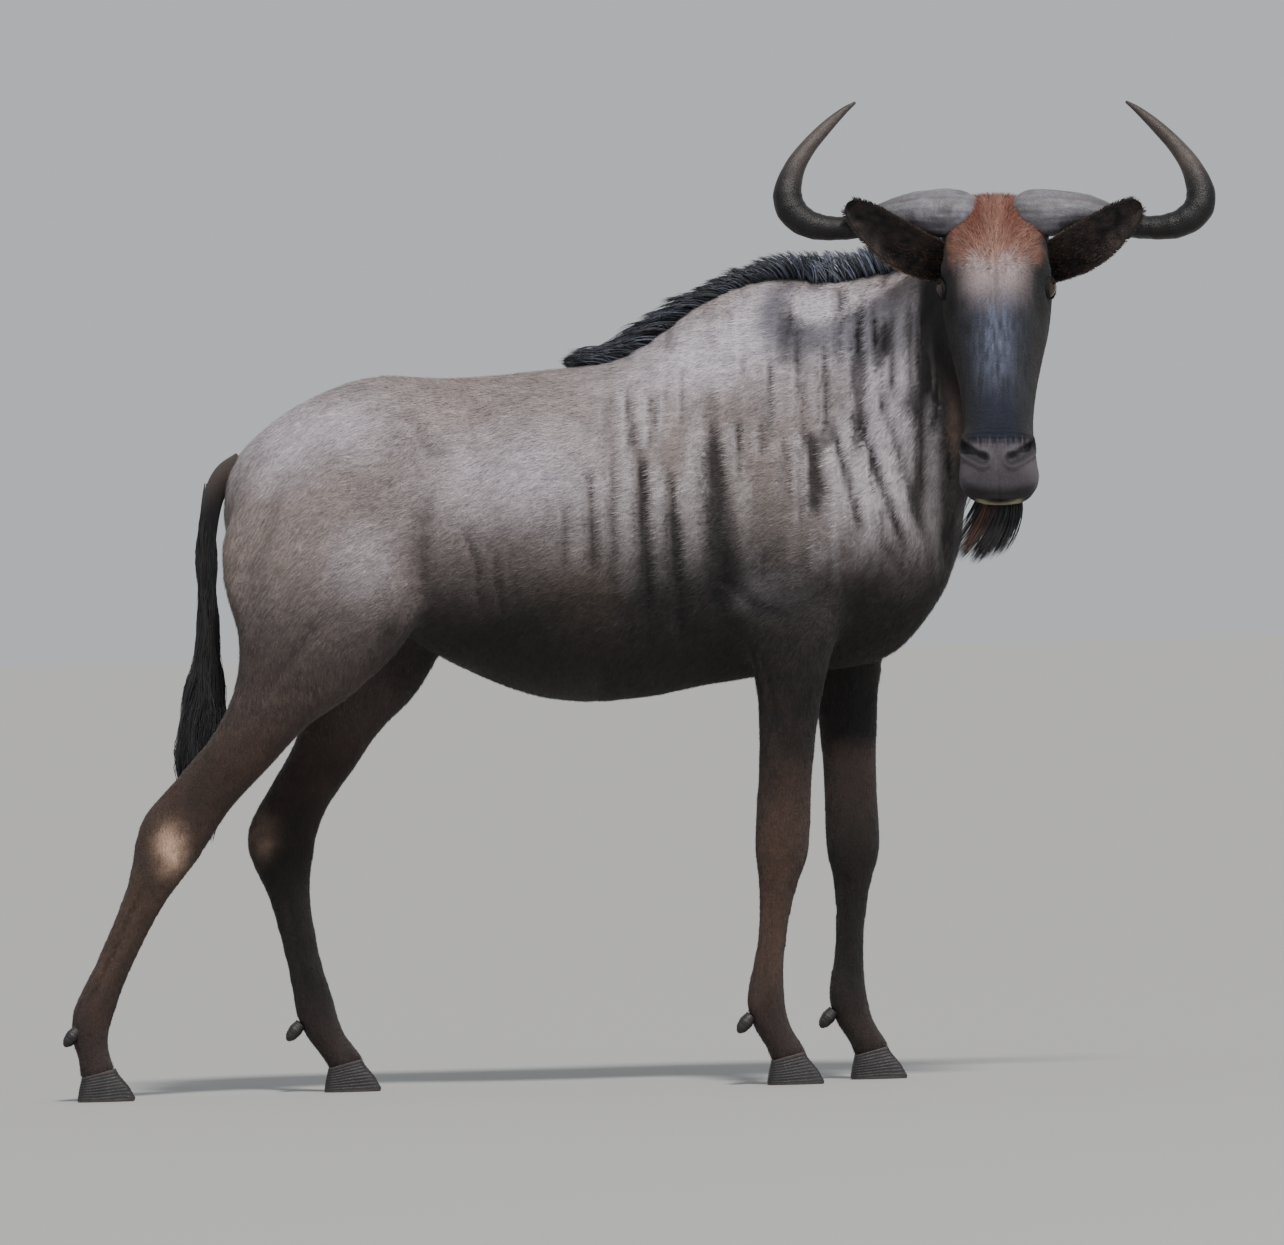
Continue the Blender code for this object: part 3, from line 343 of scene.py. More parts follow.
def paint(mesh: bpy.types.Mesh, name: str, colours: Array) -> None:
    """Stores one colour a vertex as a named attribute.

    Args:
        mesh: The mesh, which is changed.
        name: The attribute's name.
        colours: One colour a vertex.
    """
    attribute = mesh.color_attributes.new(name, "FLOAT_COLOR", "POINT")
    full = np.ones((len(colours), 4), dtype=np.float32)
    full[:, :3] = colours
    attribute.data.foreach_set("color", full.ravel())


def paint_rings(mesh: bpy.types.Mesh, colours: Array, sides: int) -> bpy.types.Mesh:
    """Paints a lofted mesh, each pole with the mean colour of the ring beside it."""
    ends = np.array([colours[:sides].mean(axis=0), colours[-sides:].mean(axis=0)])
    paint(mesh, "tint", np.vstack([colours, ends]))
    return mesh


def bells(places: Array, forms: Rows, across: int) -> Array:
    """Height to push out at each place: a bell round each form's centre, alike on both sides.

    Args:
        places: Points in the frame that the forms are given in.
        forms: Centre, radii and height of each bell.
        across: The axis that is mirrored.
    Returns:
        The summed height at each place.
    """
    total = np.zeros(len(places))
    for centre, radii, height in forms:
        for hand in (-1, 1):
            middle = np.array(centre)
            middle[across] *= hand
            total += height * np.exp(-np.sum(((places - middle) / np.array(radii)) ** 2, axis=1))
    return total


@dataclass(frozen=True)
class HeadFrame:
    """The head's own frame: where the forehead begins between the horns, and its axes.

    Places are given as side (to the animal's left), down the face and out of the face, or, off the
    forehead, as side, up and forward.
    """

    forehead: tuple[float, float, float] = (0.592, -0.262, 1.386)
    turn: float = math.radians(4.0)
    droop: float = math.radians(72.0)
    lean: float = math.radians(1.4)

    @property
    def level(self) -> Array:
        """Forward and level, the way the head looks."""
        return np.array([-math.sin(self.turn), -math.cos(self.turn), 0.0])

    @property
    def side(self) -> Array:
        """To the head's left."""
        square = np.array([math.cos(self.turn), -math.sin(self.turn), 0.0])
        return square * math.cos(self.lean) - UP * math.sin(self.lean)

    @property
    def crown(self) -> Array:
        """Up, leaning with the head."""
        square = np.array([math.cos(self.turn), -math.sin(self.turn), 0.0])
        return square * math.sin(self.lean) + UP * math.cos(self.lean)

    @property
    def down(self) -> Array:
        """Down the face."""
        return self.level * math.cos(self.droop) - UP * math.sin(self.droop)

    @property
    def out(self) -> Array:
        """Out of the face."""
        return self.level * math.sin(self.droop) + UP * math.cos(self.droop)

    def place(self, side: float | Array, down: float | Array, out: float | Array) -> Array:
        """World points of places given as side, down the face and out of the face."""
        side, down, out = (np.asarray(value, dtype=float)[..., None] for value in (side, down, out))
        return np.array(self.forehead) + side * self.side + down * self.down + out * self.out

    def off(self, side: float | Array, up: float | Array, forward: float | Array) -> Array:
        """World points of places given off the forehead as side, up and forward."""
        side, up, forward = (np.asarray(value, dtype=float)[..., None] for value in (side, up, forward))
        return np.array(self.forehead) + side * self.side + up * self.crown + forward * self.level

    def read(self, points: Array) -> Array:
        """World points given as side, down the face and out of the face."""
        return (points - np.array(self.forehead)) @ np.linalg.inv(np.stack([self.side, self.down, self.out]))


HEAD = HeadFrame()
EYE = (0.0745, 0.116, -0.052)
EYE_RADIUS = 0.0205


def frame_shift() -> Array:
    """From the body's own frame to the model's: what brings the right eye to its solid."""
    low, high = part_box("eye_right")
    return np.array((low + high) / 2) - HEAD.place(-EYE[0], EYE[1], EYE[2])


SHIFT = frame_shift()


def place_piece(name: str, mesh: bpy.types.Mesh, material: bpy.types.Material,
                replaced: tuple[str, ...] = ()) -> bpy.types.Object:
    """Moves a mesh to the model's frame and adds it to the model as a piece.

    Args:
        name: The piece's name.
        mesh: Its mesh, in the body's own frame.
        material: Its finish.
        replaced: The solids that it stands for.
    Returns:
        The piece's object.
    """
    write(mesh, read(mesh) + SHIFT)
    mesh.name = name
    piece = bpy.data.objects.new(name, mesh)
    bpy.context.scene.collection.objects.link(piece)
    mesh.materials.append(material)
    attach(piece, "root")
    if replaced:
        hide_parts(*replaced)
    LOG.info("%s: %d faces", name, len(mesh.polygons))
    return piece


LEG_NAMES = ("foreleg_right", "foreleg_left", "hindleg_right", "hindleg_left")
FLESH_NODES = ("torso", "neck", "head") + tuple(f"{leg}_{part}" for leg in LEG_NAMES for part in ("upper", "lower"))


@dataclass(frozen=True)
class Leg:
    """One leg: its side, the girths down it and its joints from the top to the coronet."""

    side: Side
    girths: Rows
    joints: Rows

    def line(self) -> Array:
        """The joints on the leg's own side, carried on past the coronet."""
        line = np.array(self.joints, dtype=float) * (1.0, self.side.value, 1.0)
        return np.vstack([line, line[-1] + 0.5 * (line[-1] - line[-2])])


FORE_GIRTHS: Rows = (
    (0.0, 0.07, 0.06, 0.03), (0.4, 0.13, 0.098, 0.048), (0.75, 0.145, 0.102, 0.055),
    (1.0, 0.098, 0.088, 0.051), (1.25, 0.068, 0.062, 0.046), (1.5, 0.052, 0.049, 0.038),
    (1.75, 0.046, 0.046, 0.033), (2.0, 0.046, 0.046, 0.036), (2.17, 0.034, 0.036, 0.029),
    (2.35, 0.027, 0.029, 0.023), (2.6, 0.025, 0.027, 0.021), (2.82, 0.027, 0.031, 0.024),
    (3.0, 0.031, 0.036, 0.03), (3.35, 0.028, 0.033, 0.029), (3.7, 0.027, 0.027, 0.029),
    (4.0, 0.032, 0.029, 0.032), (4.3, 0.034, 0.029, 0.033),
)
HIND_GIRTHS: Rows = (
    (0.0, 0.08, 0.19, 0.046), (0.5, 0.132, 0.208, 0.058), (0.75, 0.135, 0.187, 0.06),
    (1.0, 0.105, 0.141, 0.056), (1.25, 0.07, 0.08, 0.049), (1.5, 0.06, 0.053, 0.041),
    (1.75, 0.05, 0.054, 0.035), (2.0, 0.052, 0.063, 0.034), (2.12, 0.048, 0.057, 0.033),
    (2.3, 0.036, 0.039, 0.028), (2.5, 0.031, 0.033, 0.024), (2.75, 0.029, 0.032, 0.024),
    (3.0, 0.033, 0.036, 0.03), (3.35, 0.028, 0.034, 0.029), (3.7, 0.026, 0.028, 0.029),
    (4.0, 0.031, 0.029, 0.032), (4.3, 0.033, 0.029, 0.033),
)
LEGS: dict[str, Leg] = {
    "foreleg_right": Leg(Side.RIGHT, FORE_GIRTHS, (
        (0.245, 0.072, 1.1), (0.255, 0.11, 0.76), (0.233, 0.082, 0.375),
        (0.203, 0.078, 0.135), (0.232, 0.078, 0.05))),
    "foreleg_left": Leg(Side.LEFT, FORE_GIRTHS, (
        (0.255, 0.072, 1.1), (0.335, 0.11, 0.76), (0.35, 0.082, 0.373),
        (0.337, 0.078, 0.135), (0.368, 0.078, 0.05))),
    "hindleg_right": Leg(Side.RIGHT, HIND_GIRTHS, (
        (-0.4, 0.094, 0.96), (-0.52, 0.108, 0.7), (-0.732, 0.088, 0.425),
        (-0.873, 0.084, 0.14), (-0.87, 0.084, 0.05))),
    "hindleg_left": Leg(Side.LEFT, HIND_GIRTHS, (
        (-0.4, 0.094, 0.96), (-0.432, 0.108, 0.68), (-0.567, 0.088, 0.411),
        (-0.522, 0.084, 0.135), (-0.48, 0.084, 0.05))),
}
CORONET = 0.046
CORONET_SLOPE = math.radians(14.0)


@dataclass(frozen=True)
class Flesh:
    """Head, neck, trunk and legs as one skin: oval sections along each form, fused and sculpted.

    Trunk stations are x, top, underside, half width, height of the widest point and the power of
    the section; neck stations a centre, rise to the crest, drop to the throat and half width; head
    stations the way down the face, face line, jaw line, half width, line of greatest width, power.
    """

    voxel: float = 0.0088
    trunk: Rows = (
        (-0.645, 1.0, 0.87, 0.045, 0.935, 2.0), (-0.61, 1.048, 0.835, 0.095, 0.945, 2.0),
        (-0.53, 1.108, 0.8, 0.132, 0.96, 2.0), (-0.41, 1.153, 0.755, 0.148, 0.97, 1.9),
        (-0.28, 1.147, 0.678, 0.166, 0.93, 2.0), (-0.14, 1.156, 0.622, 0.184, 0.9, 2.0),
        (0.0, 1.176, 0.617, 0.186, 0.88, 1.9), (0.12, 1.258, 0.636, 0.17, 0.87, 1.7),
        (0.22, 1.3, 0.648, 0.152, 0.87, 1.6), (0.32, 1.296, 0.655, 0.138, 0.88, 1.6),
        (0.42, 1.22, 0.676, 0.118, 0.9, 1.8), (0.5, 1.08, 0.765, 0.085, 0.92, 2.0),
        (0.536, 0.99, 0.85, 0.045, 0.915, 2.0),
    )
    neck: Rows = (
        (0.26, 0.0, 1.03, 0.265, 0.26, 0.1), (0.38, -0.01, 1.1, 0.232, 0.255, 0.106),
        (0.47, -0.036, 1.165, 0.165, 0.215, 0.09), (0.538, -0.085, 1.215, 0.128, 0.165, 0.079),
        (0.578, -0.145, 1.262, 0.103, 0.125, 0.075), (0.59, -0.205, 1.285, 0.08, 0.095, 0.068),
    )
    head: Rows = (
        (-0.042, -0.045, -0.11, 0.045, -0.075, 2.0), (-0.025, -0.012, -0.135, 0.072, -0.07, 2.2),
        (0.01, 0.0, -0.155, 0.086, -0.07, 2.6), (0.07, 0.005, -0.172, 0.089, -0.068, 2.7),
        (0.125, 0.01, -0.188, 0.089, -0.07, 2.5), (0.175, 0.012, -0.196, 0.08, -0.085, 2.1),
        (0.232, 0.011, -0.184, 0.07, -0.085, 1.9), (0.288, 0.007, -0.164, 0.061, -0.08, 1.9),
        (0.342, 0.001, -0.145, 0.057, -0.074, 2.1), (0.385, -0.007, -0.134, 0.061, -0.07, 2.5),
        (0.422, -0.022, -0.126, 0.064, -0.072, 2.8), (0.452, -0.044, -0.116, 0.055, -0.078, 2.6),
        (0.47, -0.068, -0.1, 0.03, -0.083, 2.2),
    )
    swellings: Rows = (
        ((0.245, 0.145, 1.08), (0.045, 0.06, 0.13), 0.009),
        ((0.125, 0.165, 0.95), (0.035, 0.06, 0.13), -0.008), ((0.4, 0.115, 0.87), (0.06, 0.05, 0.07), 0.01),
        ((0.225, 0.15, 0.86), (0.07, 0.05, 0.075), 0.01), ((0.172, 0.13, 0.755), (0.025, 0.04, 0.035), 0.01),
        ((0.33, 0.13, 0.76), (0.04, 0.04, 0.06), -0.006), ((-0.335, 0.13, 1.06), (0.04, 0.05, 0.045), 0.012),
        ((-0.25, 0.155, 1.0), (0.055, 0.06, 0.075), -0.012), ((-0.47, 0.15, 0.87), (0.11, 0.06, 0.11), 0.01),
        ((-0.365, 0.15, 0.76), (0.04, 0.045, 0.045), 0.01), ((-0.6, 0.12, 0.96), (0.035, 0.05, 0.035), 0.008),
        ((-0.6, 0.14, 0.8), (0.025, 0.05, 0.1), -0.004),
    )
    face_swellings: Rows = (
        ((0.074, 0.094, -0.03), (0.018, 0.018, 0.022), 0.008),
        ((0.086, 0.06, -0.065), (0.02, 0.025, 0.03), -0.004),
        ((0.064, 0.16, -0.04), (0.016, 0.022, 0.022), -0.004),
        ((0.066, 0.2, -0.07), (0.016, 0.045, 0.018), 0.004),
        ((0.062, 0.165, -0.14), (0.03, 0.05, 0.04), 0.006),
        ((0.047, 0.378, -0.02), (0.017, 0.014, 0.022), 0.009),
        ((0.03, 0.425, -0.024), (0.03, 0.016, 0.02), 0.003),
        ((0.05, 0.435, -0.062), (0.022, 0.02, 0.026), 0.006),
        ((0.04, 0.455, -0.106), (0.02, 0.016, 0.014), 0.004),
    )

    def trunk_rings(self) -> Array:
        """The barrel: upright oval sections from rump to breast.

        Returns:
            Points as rings by sides by 3.
        """
        rows = spline(self.trunk, 49)
        x, top, under, half, wide, power = rows.T
        centres = np.stack([x, np.zeros_like(x), wide], axis=1)
        return oval_rings(centres, LEFT, UP, half, top - wide, wide - under, power, 40)

    def neck_rings(self) -> Array:
        """The neck: oval sections square to a line that rises and bends to the right.

        Returns:
            Points as rings by sides by 3.
        """
        rows = spline(self.neck, 31)
        along = unit(np.gradient(rows[:, :3], axis=0))
        across = unit(np.cross(UP, along))
        return oval_rings(rows[:, :3], across, np.cross(along, across), rows[:, 5], rows[:, 3], rows[:, 4],
                          1.9, 32)

    def head_rings(self) -> Array:
        """Skull and jaws: sections square to the face line, flat in front and round below.

        Returns:
            Points as rings by sides by 3.
        """
        rows = spline(self.head, 49)
        down, face, jaw, half, wide, power = rows.T
        centres = HEAD.place(0.0, down, wide)
        return oval_rings(centres, HEAD.side, HEAD.out, half, face - wide, wide - jaw, power, 36)

    def leg_rings(self, leg: Leg) -> Array:
        """A leg: oval sections square to the line through its joints, half rounded at each joint.

        Args:
            leg: The leg.
        Returns:
            Points as rings by sides by 3.
        """
        line = leg.line()
        place, front, back, half = spline(leg.girths, 4 * len(leg.girths)).T
        fine, steps = spline(line, 241), np.linspace(0.0, len(line) - 1.0, 241)
        place = np.clip(place, 0.0, len(line) - 1.0)
        rounded = np.stack([np.interp(place, steps, fine[:, k]) for k in range(3)], axis=1)
        straight = np.stack([np.interp(place, np.arange(len(line)), line[:, k]) for k in range(3)], axis=1)
        centres = 0.5 * (rounded + straight)
        forward = unit(np.cross(unit(np.gradient(centres, axis=0)), LEFT))
        forward *= np.sign(forward[:, :1])
        return oval_rings(centres, LEFT, forward, half, front, back, 2.2, 24)

    def fused(self) -> bpy.types.Mesh:
        """All forms fused to one even skin, smoothed least on head and low legs.

        The forms' solids overlap, and a voxel remesh keeps their outer surface; each vertex then
        moves toward its neighbours' mean.

        Returns:
            The new mesh.
        """
        meshes = [loft("trunk", self.trunk_rings(), 0.008), loft("neck", self.neck_rings(), 0.01),
                  loft("head", self.head_rings(), 0.004)]
        meshes += [loft(name, self.leg_rings(leg), 0.006) for name, leg in LEGS.items()]
        mould = bpy.data.objects.new("mould", join("mould", meshes))
        bpy.context.scene.collection.objects.link(mould)
        remesh = mould.modifiers.new("skin", "REMESH")
        remesh.mode = "VOXEL"
        remesh.voxel_size = self.voxel
        graph = bpy.context.evaluated_depsgraph_get()
        skin = bpy.data.meshes.new_from_object(mould.evaluated_get(graph))
        bpy.data.objects.remove(mould)
        points = read(skin)
        near_head = np.exp(-np.sum((points - HEAD.place(0.0, 0.24, -0.07)) ** 2, axis=1) / 0.21**2)
        high = ramp(0.5, 0.65, points[:, 2])
        relax(skin, 0.5 * np.clip(high - 1.1 * near_head, 0.1, 1.0), 20)
        relax(skin, np.clip(0.5 - high, 0.0, 0.35) + 0.35 * near_head, 6)
        points, normals = read(skin), read(skin, normals=True)
        push = bells(points, self.swellings, 1) + bells(HEAD.read(points), self.face_swellings, 0)
        write(skin, points + push[:, None] * normals)
        return skin


def near_curve(points: Array, curve: Array) -> Array:
    """Distance from each point to the nearest of a curve's own points."""
    return np.sqrt(np.min(np.sum((points[:, None, :] - curve[None]) ** 2, axis=2), axis=1))


@dataclass(frozen=True)
class Face:
    """What is sculpted into the head's skin: eye sockets and lids, nostrils, mouth line, wrinkles."""

    opening: tuple[float, float] = (0.0165, 0.0098)
    lid: float = 0.0018
    nostril: Rows = ((0.024, 0.414, -0.014), (0.037, 0.409, -0.014), (0.05, 0.398, -0.022), (0.058, 0.384, -0.038))
    mouth: Rows = ((0.0, 0.466, -0.07), (0.022, 0.463, -0.073), (0.044, 0.452, -0.081),
                   (0.058, 0.433, -0.088), (0.064, 0.41, -0.093), (0.063, 0.382, -0.096))

    def eye_axes(self, side: Side) -> tuple[Array, Array, Array, Array]:
        """Centre of an eyeball, the way it looks, its long axis down the face and its short one.

        Args:
            side: Which one of the two.
        Returns:
            The centre and the three unit vectors.
        """
        hand = side.value
        centre = HEAD.place(hand * EYE[0], EYE[1], EYE[2])
        look = unit(hand * 0.9 * HEAD.side + 0.42 * HEAD.out + 0.05 * HEAD.down)
        long_way = unit(HEAD.down - 0.25 * HEAD.out - look * np.dot(HEAD.down - 0.25 * HEAD.out, look))
        return centre, look, long_way, np.cross(look, long_way)

    def almond(self, points: Array, side: Side) -> Array:
        """How far inside the lids' opening a point lies: over 0 inside, on a lens-shaped outline.

        Args:
            points: Places in the body's own frame.
            side: Which one of the two.
        Returns:
            One value a point.
        """
        centre, look, long_way, short_way = self.eye_axes(side)
        offset = points - centre
        along = offset @ long_way / self.opening[0]
        across = offset @ short_way / self.opening[1]
        return np.where(offset @ look > 0.0, 1.0 - along**2 - np.abs(across), -9.0)

    def refine(self, mesh: bpy.types.Mesh, inside: Array) -> None:
        """Splits every edge whose two ends are marked, once.

        Args:
            mesh: The mesh to refine.
            inside: One mark a vertex.
        """
        shape = bmesh.new()
        shape.from_mesh(mesh)
        shape.verts.ensure_lookup_table()
        edges = [edge for edge in shape.edges if inside[edge.verts[0].index] and inside[edge.verts[1].index]]
        bmesh.ops.subdivide_edges(shape, edges=edges, cuts=1, use_grid_fill=True)
        bmesh.ops.triangulate(shape, faces=[face for face in shape.faces if len(face.verts) > 4])
        shape.to_mesh(mesh)
        shape.free()

    def prepare(self, mesh: bpy.types.Mesh) -> None:
        """Gives the head finer faces, and its eyes, nostrils and mouth the finest.

        Args:
            mesh: The mesh, which is changed.
        """
        points = read(mesh)
        side, down, out = HEAD.read(points).T
        self.refine(mesh, (down > -0.07) & (down < 0.52) & (np.abs(side) < 0.125) & (out > -0.21) & (out < 0.05))
        points = read(mesh)
        places = HEAD.read(points)
        relax(mesh, 0.5 * ramp(0.13, 0.11, np.abs(places[:, 0])) * ramp(-0.22, -0.19, places[:, 2])
              * ramp(-0.08, -0.05, places[:, 1]), 3)
        for eye_reach, muzzle_out in ((0.036, -0.125), (0.027, -0.078)):
            points = read(mesh)
            places = HEAD.read(points)
            places[:, 0] = np.abs(places[:, 0])
            fine = np.linalg.norm(places - np.array(EYE), axis=1) < eye_reach
            fine |= (places[:, 1] > 0.365) & (places[:, 2] > muzzle_out) & (places[:, 0] < 0.09)
            self.refine(mesh, fine)
            relax(mesh, 0.45 * fine_weights(read(mesh)), 2)

    def sculpt(self, mesh: bpy.types.Mesh) -> None:
        """Presses in eye openings, nostrils and mouth and raises lids, rims and lips.

        Near an eye a point goes to the eyeball's radius plus the lid's thickness, and inside the
        almond to less than that radius. Round a nostril and along the mouth it moves along its
        normal by a bell of its distance from the curve.

        Args:
            mesh: The mesh, which is changed.
        """
        points, normals = read(mesh), read(mesh, normals=True)
        for side in Side:
            centre, look = self.eye_axes(side)[:2]
            offset = points - centre
            reach = np.linalg.norm(offset, axis=1)
            flat = np.sqrt(np.maximum(reach**2 - (offset @ look) ** 2, 0.0))
            front = ramp(0.0, 0.006, offset @ look)
            inside = self.almond(points, side)
            rim = np.exp(-((inside + 0.1) / 0.16) ** 2)
            target = EYE_RADIUS + self.lid + 0.0006 * rim - (0.0065 + self.lid) * ramp(-0.02, 0.1, inside)
            crease = 0.0014 * np.exp(-((flat - EYE_RADIUS * 0.98) / 0.0022) ** 2)
            blend = front * ramp(EYE_RADIUS * 1.32, EYE_RADIUS * 0.88, flat) * (reach < 2.2 * EYE_RADIUS)
            moved = centre + unit(offset) * (target - crease)[:, None]
            points = points + blend[:, None] * (moved - points)
        mirrored = HEAD.read(points)
        mirrored[:, 0] = np.abs(mirrored[:, 0])
        close = np.flatnonzero((mirrored[:, 1] > 0.33) & (mirrored[:, 2] > -0.15))
        local = mirrored[close]
        slit = near_curve(local, spline(self.nostril, 40))
        push = -0.015 * bell(slit, 0.0, 0.0072) + 0.0034 * bell(slit, 0.014, 0.005)
        lips = near_curve(local, spline(self.mouth, 60))
        push += -0.005 * bell(lips, 0.0, 0.0026) + 0.0016 * bell(lips, 0.008, 0.005)
        groove = np.exp(-((local[:, 0] / 0.003) ** 2)) * ramp(0.415, 0.44, local[:, 1])
        push -= 0.0012 * groove * ramp(-0.075, -0.06, local[:, 2])
        wrinkle = np.sin(local[:, 1] * 900.0 + 2.0 * noise(local, 0.02, 3)) * ramp(0.3, 0.36, local[:, 1])
        push += 0.00022 * wrinkle * ramp(0.41, 0.38, local[:, 1])
        points[close] += push[:, None] * normals[close]
        write(mesh, points)


def fine_weights(points: Array) -> Array:
    """Where the face's finest faces lie: 1 near eyes and muzzle, 0 away from them.

    Args:
        points: Places in the body's own frame.
    Returns:
        One weight a point.
    """
    places = HEAD.read(points)
    places[:, 0] = np.abs(places[:, 0])
    eye = ramp(0.036, 0.026, np.linalg.norm(places - np.array(EYE), axis=1))
    muzzle = ramp(0.365, 0.385, places[:, 1]) * ramp(-0.125, -0.11, places[:, 2]) * (places[:, 0] < 0.1)
    return np.maximum(eye, muzzle)


@dataclass(frozen=True)
class Markings:
    """Colours of skin and coat at any point, and the brindle folds' places.

    A fold row is x and z of its upper end, x and z of its lower end, half width at each end and
    strength. A sheen row is a painted highlight: a centre, radii and strength. The creases are
    darkened as painted shade, and the tone rows give the height along x where the coat turns
    from painted light on top to painted shade below.
    """

    folds: Rows = (
        (-0.098, 0.934, -0.102, 0.827, 0.0048, 0.008, 0.35),
        (-0.061, 0.989, -0.053, 0.829, 0.0048, 0.0096, 0.6),
        (-0.023, 0.988, -0.023, 0.797, 0.0048, 0.0064, 0.3),
        (0.009, 1.114, 0.013, 1.019, 0.0048, 0.0064, 0.7), (0.024, 1.018, 0.031, 0.74, 0.008, 0.0128, 1.0),
        (0.045, 1.105, 0.045, 1.026, 0.0048, 0.0048, 0.6), (0.072, 0.985, 0.085, 0.714, 0.0064, 0.0128, 0.95),
        (0.118, 1.032, 0.116, 0.937, 0.0048, 0.0048, 0.35), (0.144, 1.055, 0.152, 0.745, 0.0096, 0.0193, 1.0),
        (0.184, 1.062, 0.183, 1.011, 0.0048, 0.0048, 0.55), (0.222, 1.069, 0.222, 1.006, 0.0048, 0.0048, 0.5),
        (0.236, 1.156, 0.235, 1.053, 0.004, 0.004, 0.45), (0.276, 1.235, 0.28, 1.143, 0.0128, 0.0096, 0.5),
        (0.256, 1.029, 0.259, 0.933, 0.0048, 0.0048, 0.35), (0.298, 1.043, 0.304, 0.908, 0.008, 0.0064, 0.85),
        (0.333, 1.051, 0.372, 0.882, 0.0064, 0.0064, 0.8), (0.343, 1.249, 0.347, 1.146, 0.0048, 0.0048, 0.5),
        (0.372, 1.249, 0.373, 1.169, 0.0048, 0.0048, 0.5), (0.4, 1.248, 0.402, 1.176, 0.0048, 0.0048, 0.45),
        (0.377, 1.057, 0.44, 0.857, 0.0064, 0.008, 0.75), (0.413, 1.096, 0.472, 0.864, 0.0048, 0.008, 0.6),
        (0.427, 1.223, 0.427, 1.088, 0.0064, 0.0064, 0.6), (0.458, 1.246, 0.456, 1.055, 0.0048, 0.0064, 0.55),
        (0.48, 1.262, 0.468, 0.912, 0.008, 0.0112, 1.0), (0.504, 1.197, 0.514, 0.831, 0.0064, 0.0096, 0.6),
    )
    sheen: Rows = (
        (-0.465, 1.075, 0.11, 0.06, 0.95), (-0.575, 1.02, 0.07, 0.06, 0.55),
        (-0.425, 0.862, 0.055, 0.06, 0.5), (-0.25, 1.0, 0.11, 0.08, 0.75), (-0.12, 0.985, 0.12, 0.09, 0.55),
        (0.08, 1.15, 0.14, 0.07, 0.55), (0.2, 1.2, 0.16, 0.09, 0.9), (0.33, 1.23, 0.11, 0.08, 1.0),
        (0.4, 1.0, 0.08, 0.11, 0.85), (0.44, 1.15, 0.06, 0.12, 0.8), (0.21, 0.79, 0.06, 0.035, 0.15),
    )
    creases: Rows = (
        (-0.322, 0.96, -0.33, 0.79, 0.013, 0.8), (-0.259, 0.906, -0.239, 0.77, 0.008, 0.7),
        (-0.226, 0.88, -0.205, 0.77, 0.007, 0.5), (-0.192, 0.87, -0.18, 0.79, 0.008, 0.5),
        (-0.345, 0.8, -0.395, 0.7, 0.01, 0.6), (-0.345, 1.08, -0.3, 1.01, 0.014, 0.55),
        (-0.54, 1.0, -0.6, 0.8, 0.013, 0.35), (-0.47, 0.79, -0.585, 0.64, 0.01, 0.55),
        (0.235, 1.15, 0.16, 0.93, 0.016, 0.4), (0.15, 0.8, 0.245, 0.735, 0.011, 0.6),
        (0.335, 0.86, 0.3, 0.74, 0.011, 0.55), (0.205, 0.7, 0.235, 0.52, 0.008, 0.45),
        (0.39, 0.9, 0.44, 0.8, 0.012, 0.45),
    )
    tone: Rows = (
        (-0.7, 0.8), (-0.5, 0.775), (-0.36, 0.8), (-0.2, 0.88), (0.0, 0.905), (0.15, 0.93), (0.3, 0.905),
        (0.45, 0.88), (0.56, 0.9),
    )
    crest: Array = field(default_factory=lambda: np.array([
        (-0.1, 0.0), (0.2, -0.002), (0.29, -0.006), (0.36, -0.014), (0.42, -0.03), (0.48, -0.062), (0.525, -0.1),
        (0.56, -0.14)]))
    crest_top: Array = field(default_factory=lambda: np.array([
        (-0.1, 1.16), (0.0, 1.178), (0.05, 1.21), (0.1, 1.25), (0.15, 1.285), (0.2, 1.3), (0.45, 1.3),
        (0.56, 1.34)]))

    def folded(self, points: Array) -> tuple[Array, Array]:
        """How deep in a dark upright fold each point lies and how near the ridge beside one.

        Each fold is a bell across x about a line between its ends that wanders with slow noise; it
        widens downward, fades at its ends and is broken along its length. The ridge is a wider
        bell to its rear.

        Args:
            points: Places in the body's own frame.
        Returns:
            Depth and nearness, each from 0 to 1.
        """
        wander = 0.005 * noise(points * (0.3, 0.1, 1.0), 0.075, 5) + 0.002 * noise(points, 0.022, 6)
        broken = 0.92 + 0.3 * noise(points * (3.0, 0.5, 1.0), 0.06, 20)
        depth, ridge = np.zeros(len(points)), np.zeros(len(points))
        for x_top, top, x_low, low, thin, wide, strength in self.folds:
            share = (top - points[:, 2]) / (top - low)
            ends = ramp(-0.1, 0.14, share) * ramp(1.12, 0.85, share)
            held = np.clip(share, 0.0, 1.0)
            half = 1.18 * (thin + (wide - thin) * held)
            away = (points[:, 0] + wander - x_top - (x_low - x_top) * share) / half
            depth += strength * np.exp(-(away**2)) * ends * broken
            ridge += strength * bell(away, -2.1, 1.3) * ends
            ridge += 0.6 * strength * bell(away, 2.1, 1.3) * ends
        streaks = noise(points * (1.0, 0.3, 0.11), 0.0125, 21) + 0.5 * noise(points * (1.0, 0.3, 0.14), 0.006, 22)
        where = ramp(-0.12, 0.02, points[:, 0]) * ramp(0.74, 0.84, points[:, 2])
        front = 0.45 + 0.55 * ramp(0.22, 0.34, points[:, 0])
        depth = depth + 0.6 * ramp(0.2, 0.65, streaks) * where * front
        ridge = ridge + 0.8 * ramp(0.15, 0.8, -streaks) * where * front
        return np.clip(depth, 0.0, 1.0), np.clip(ridge, 0.0, 1.0)

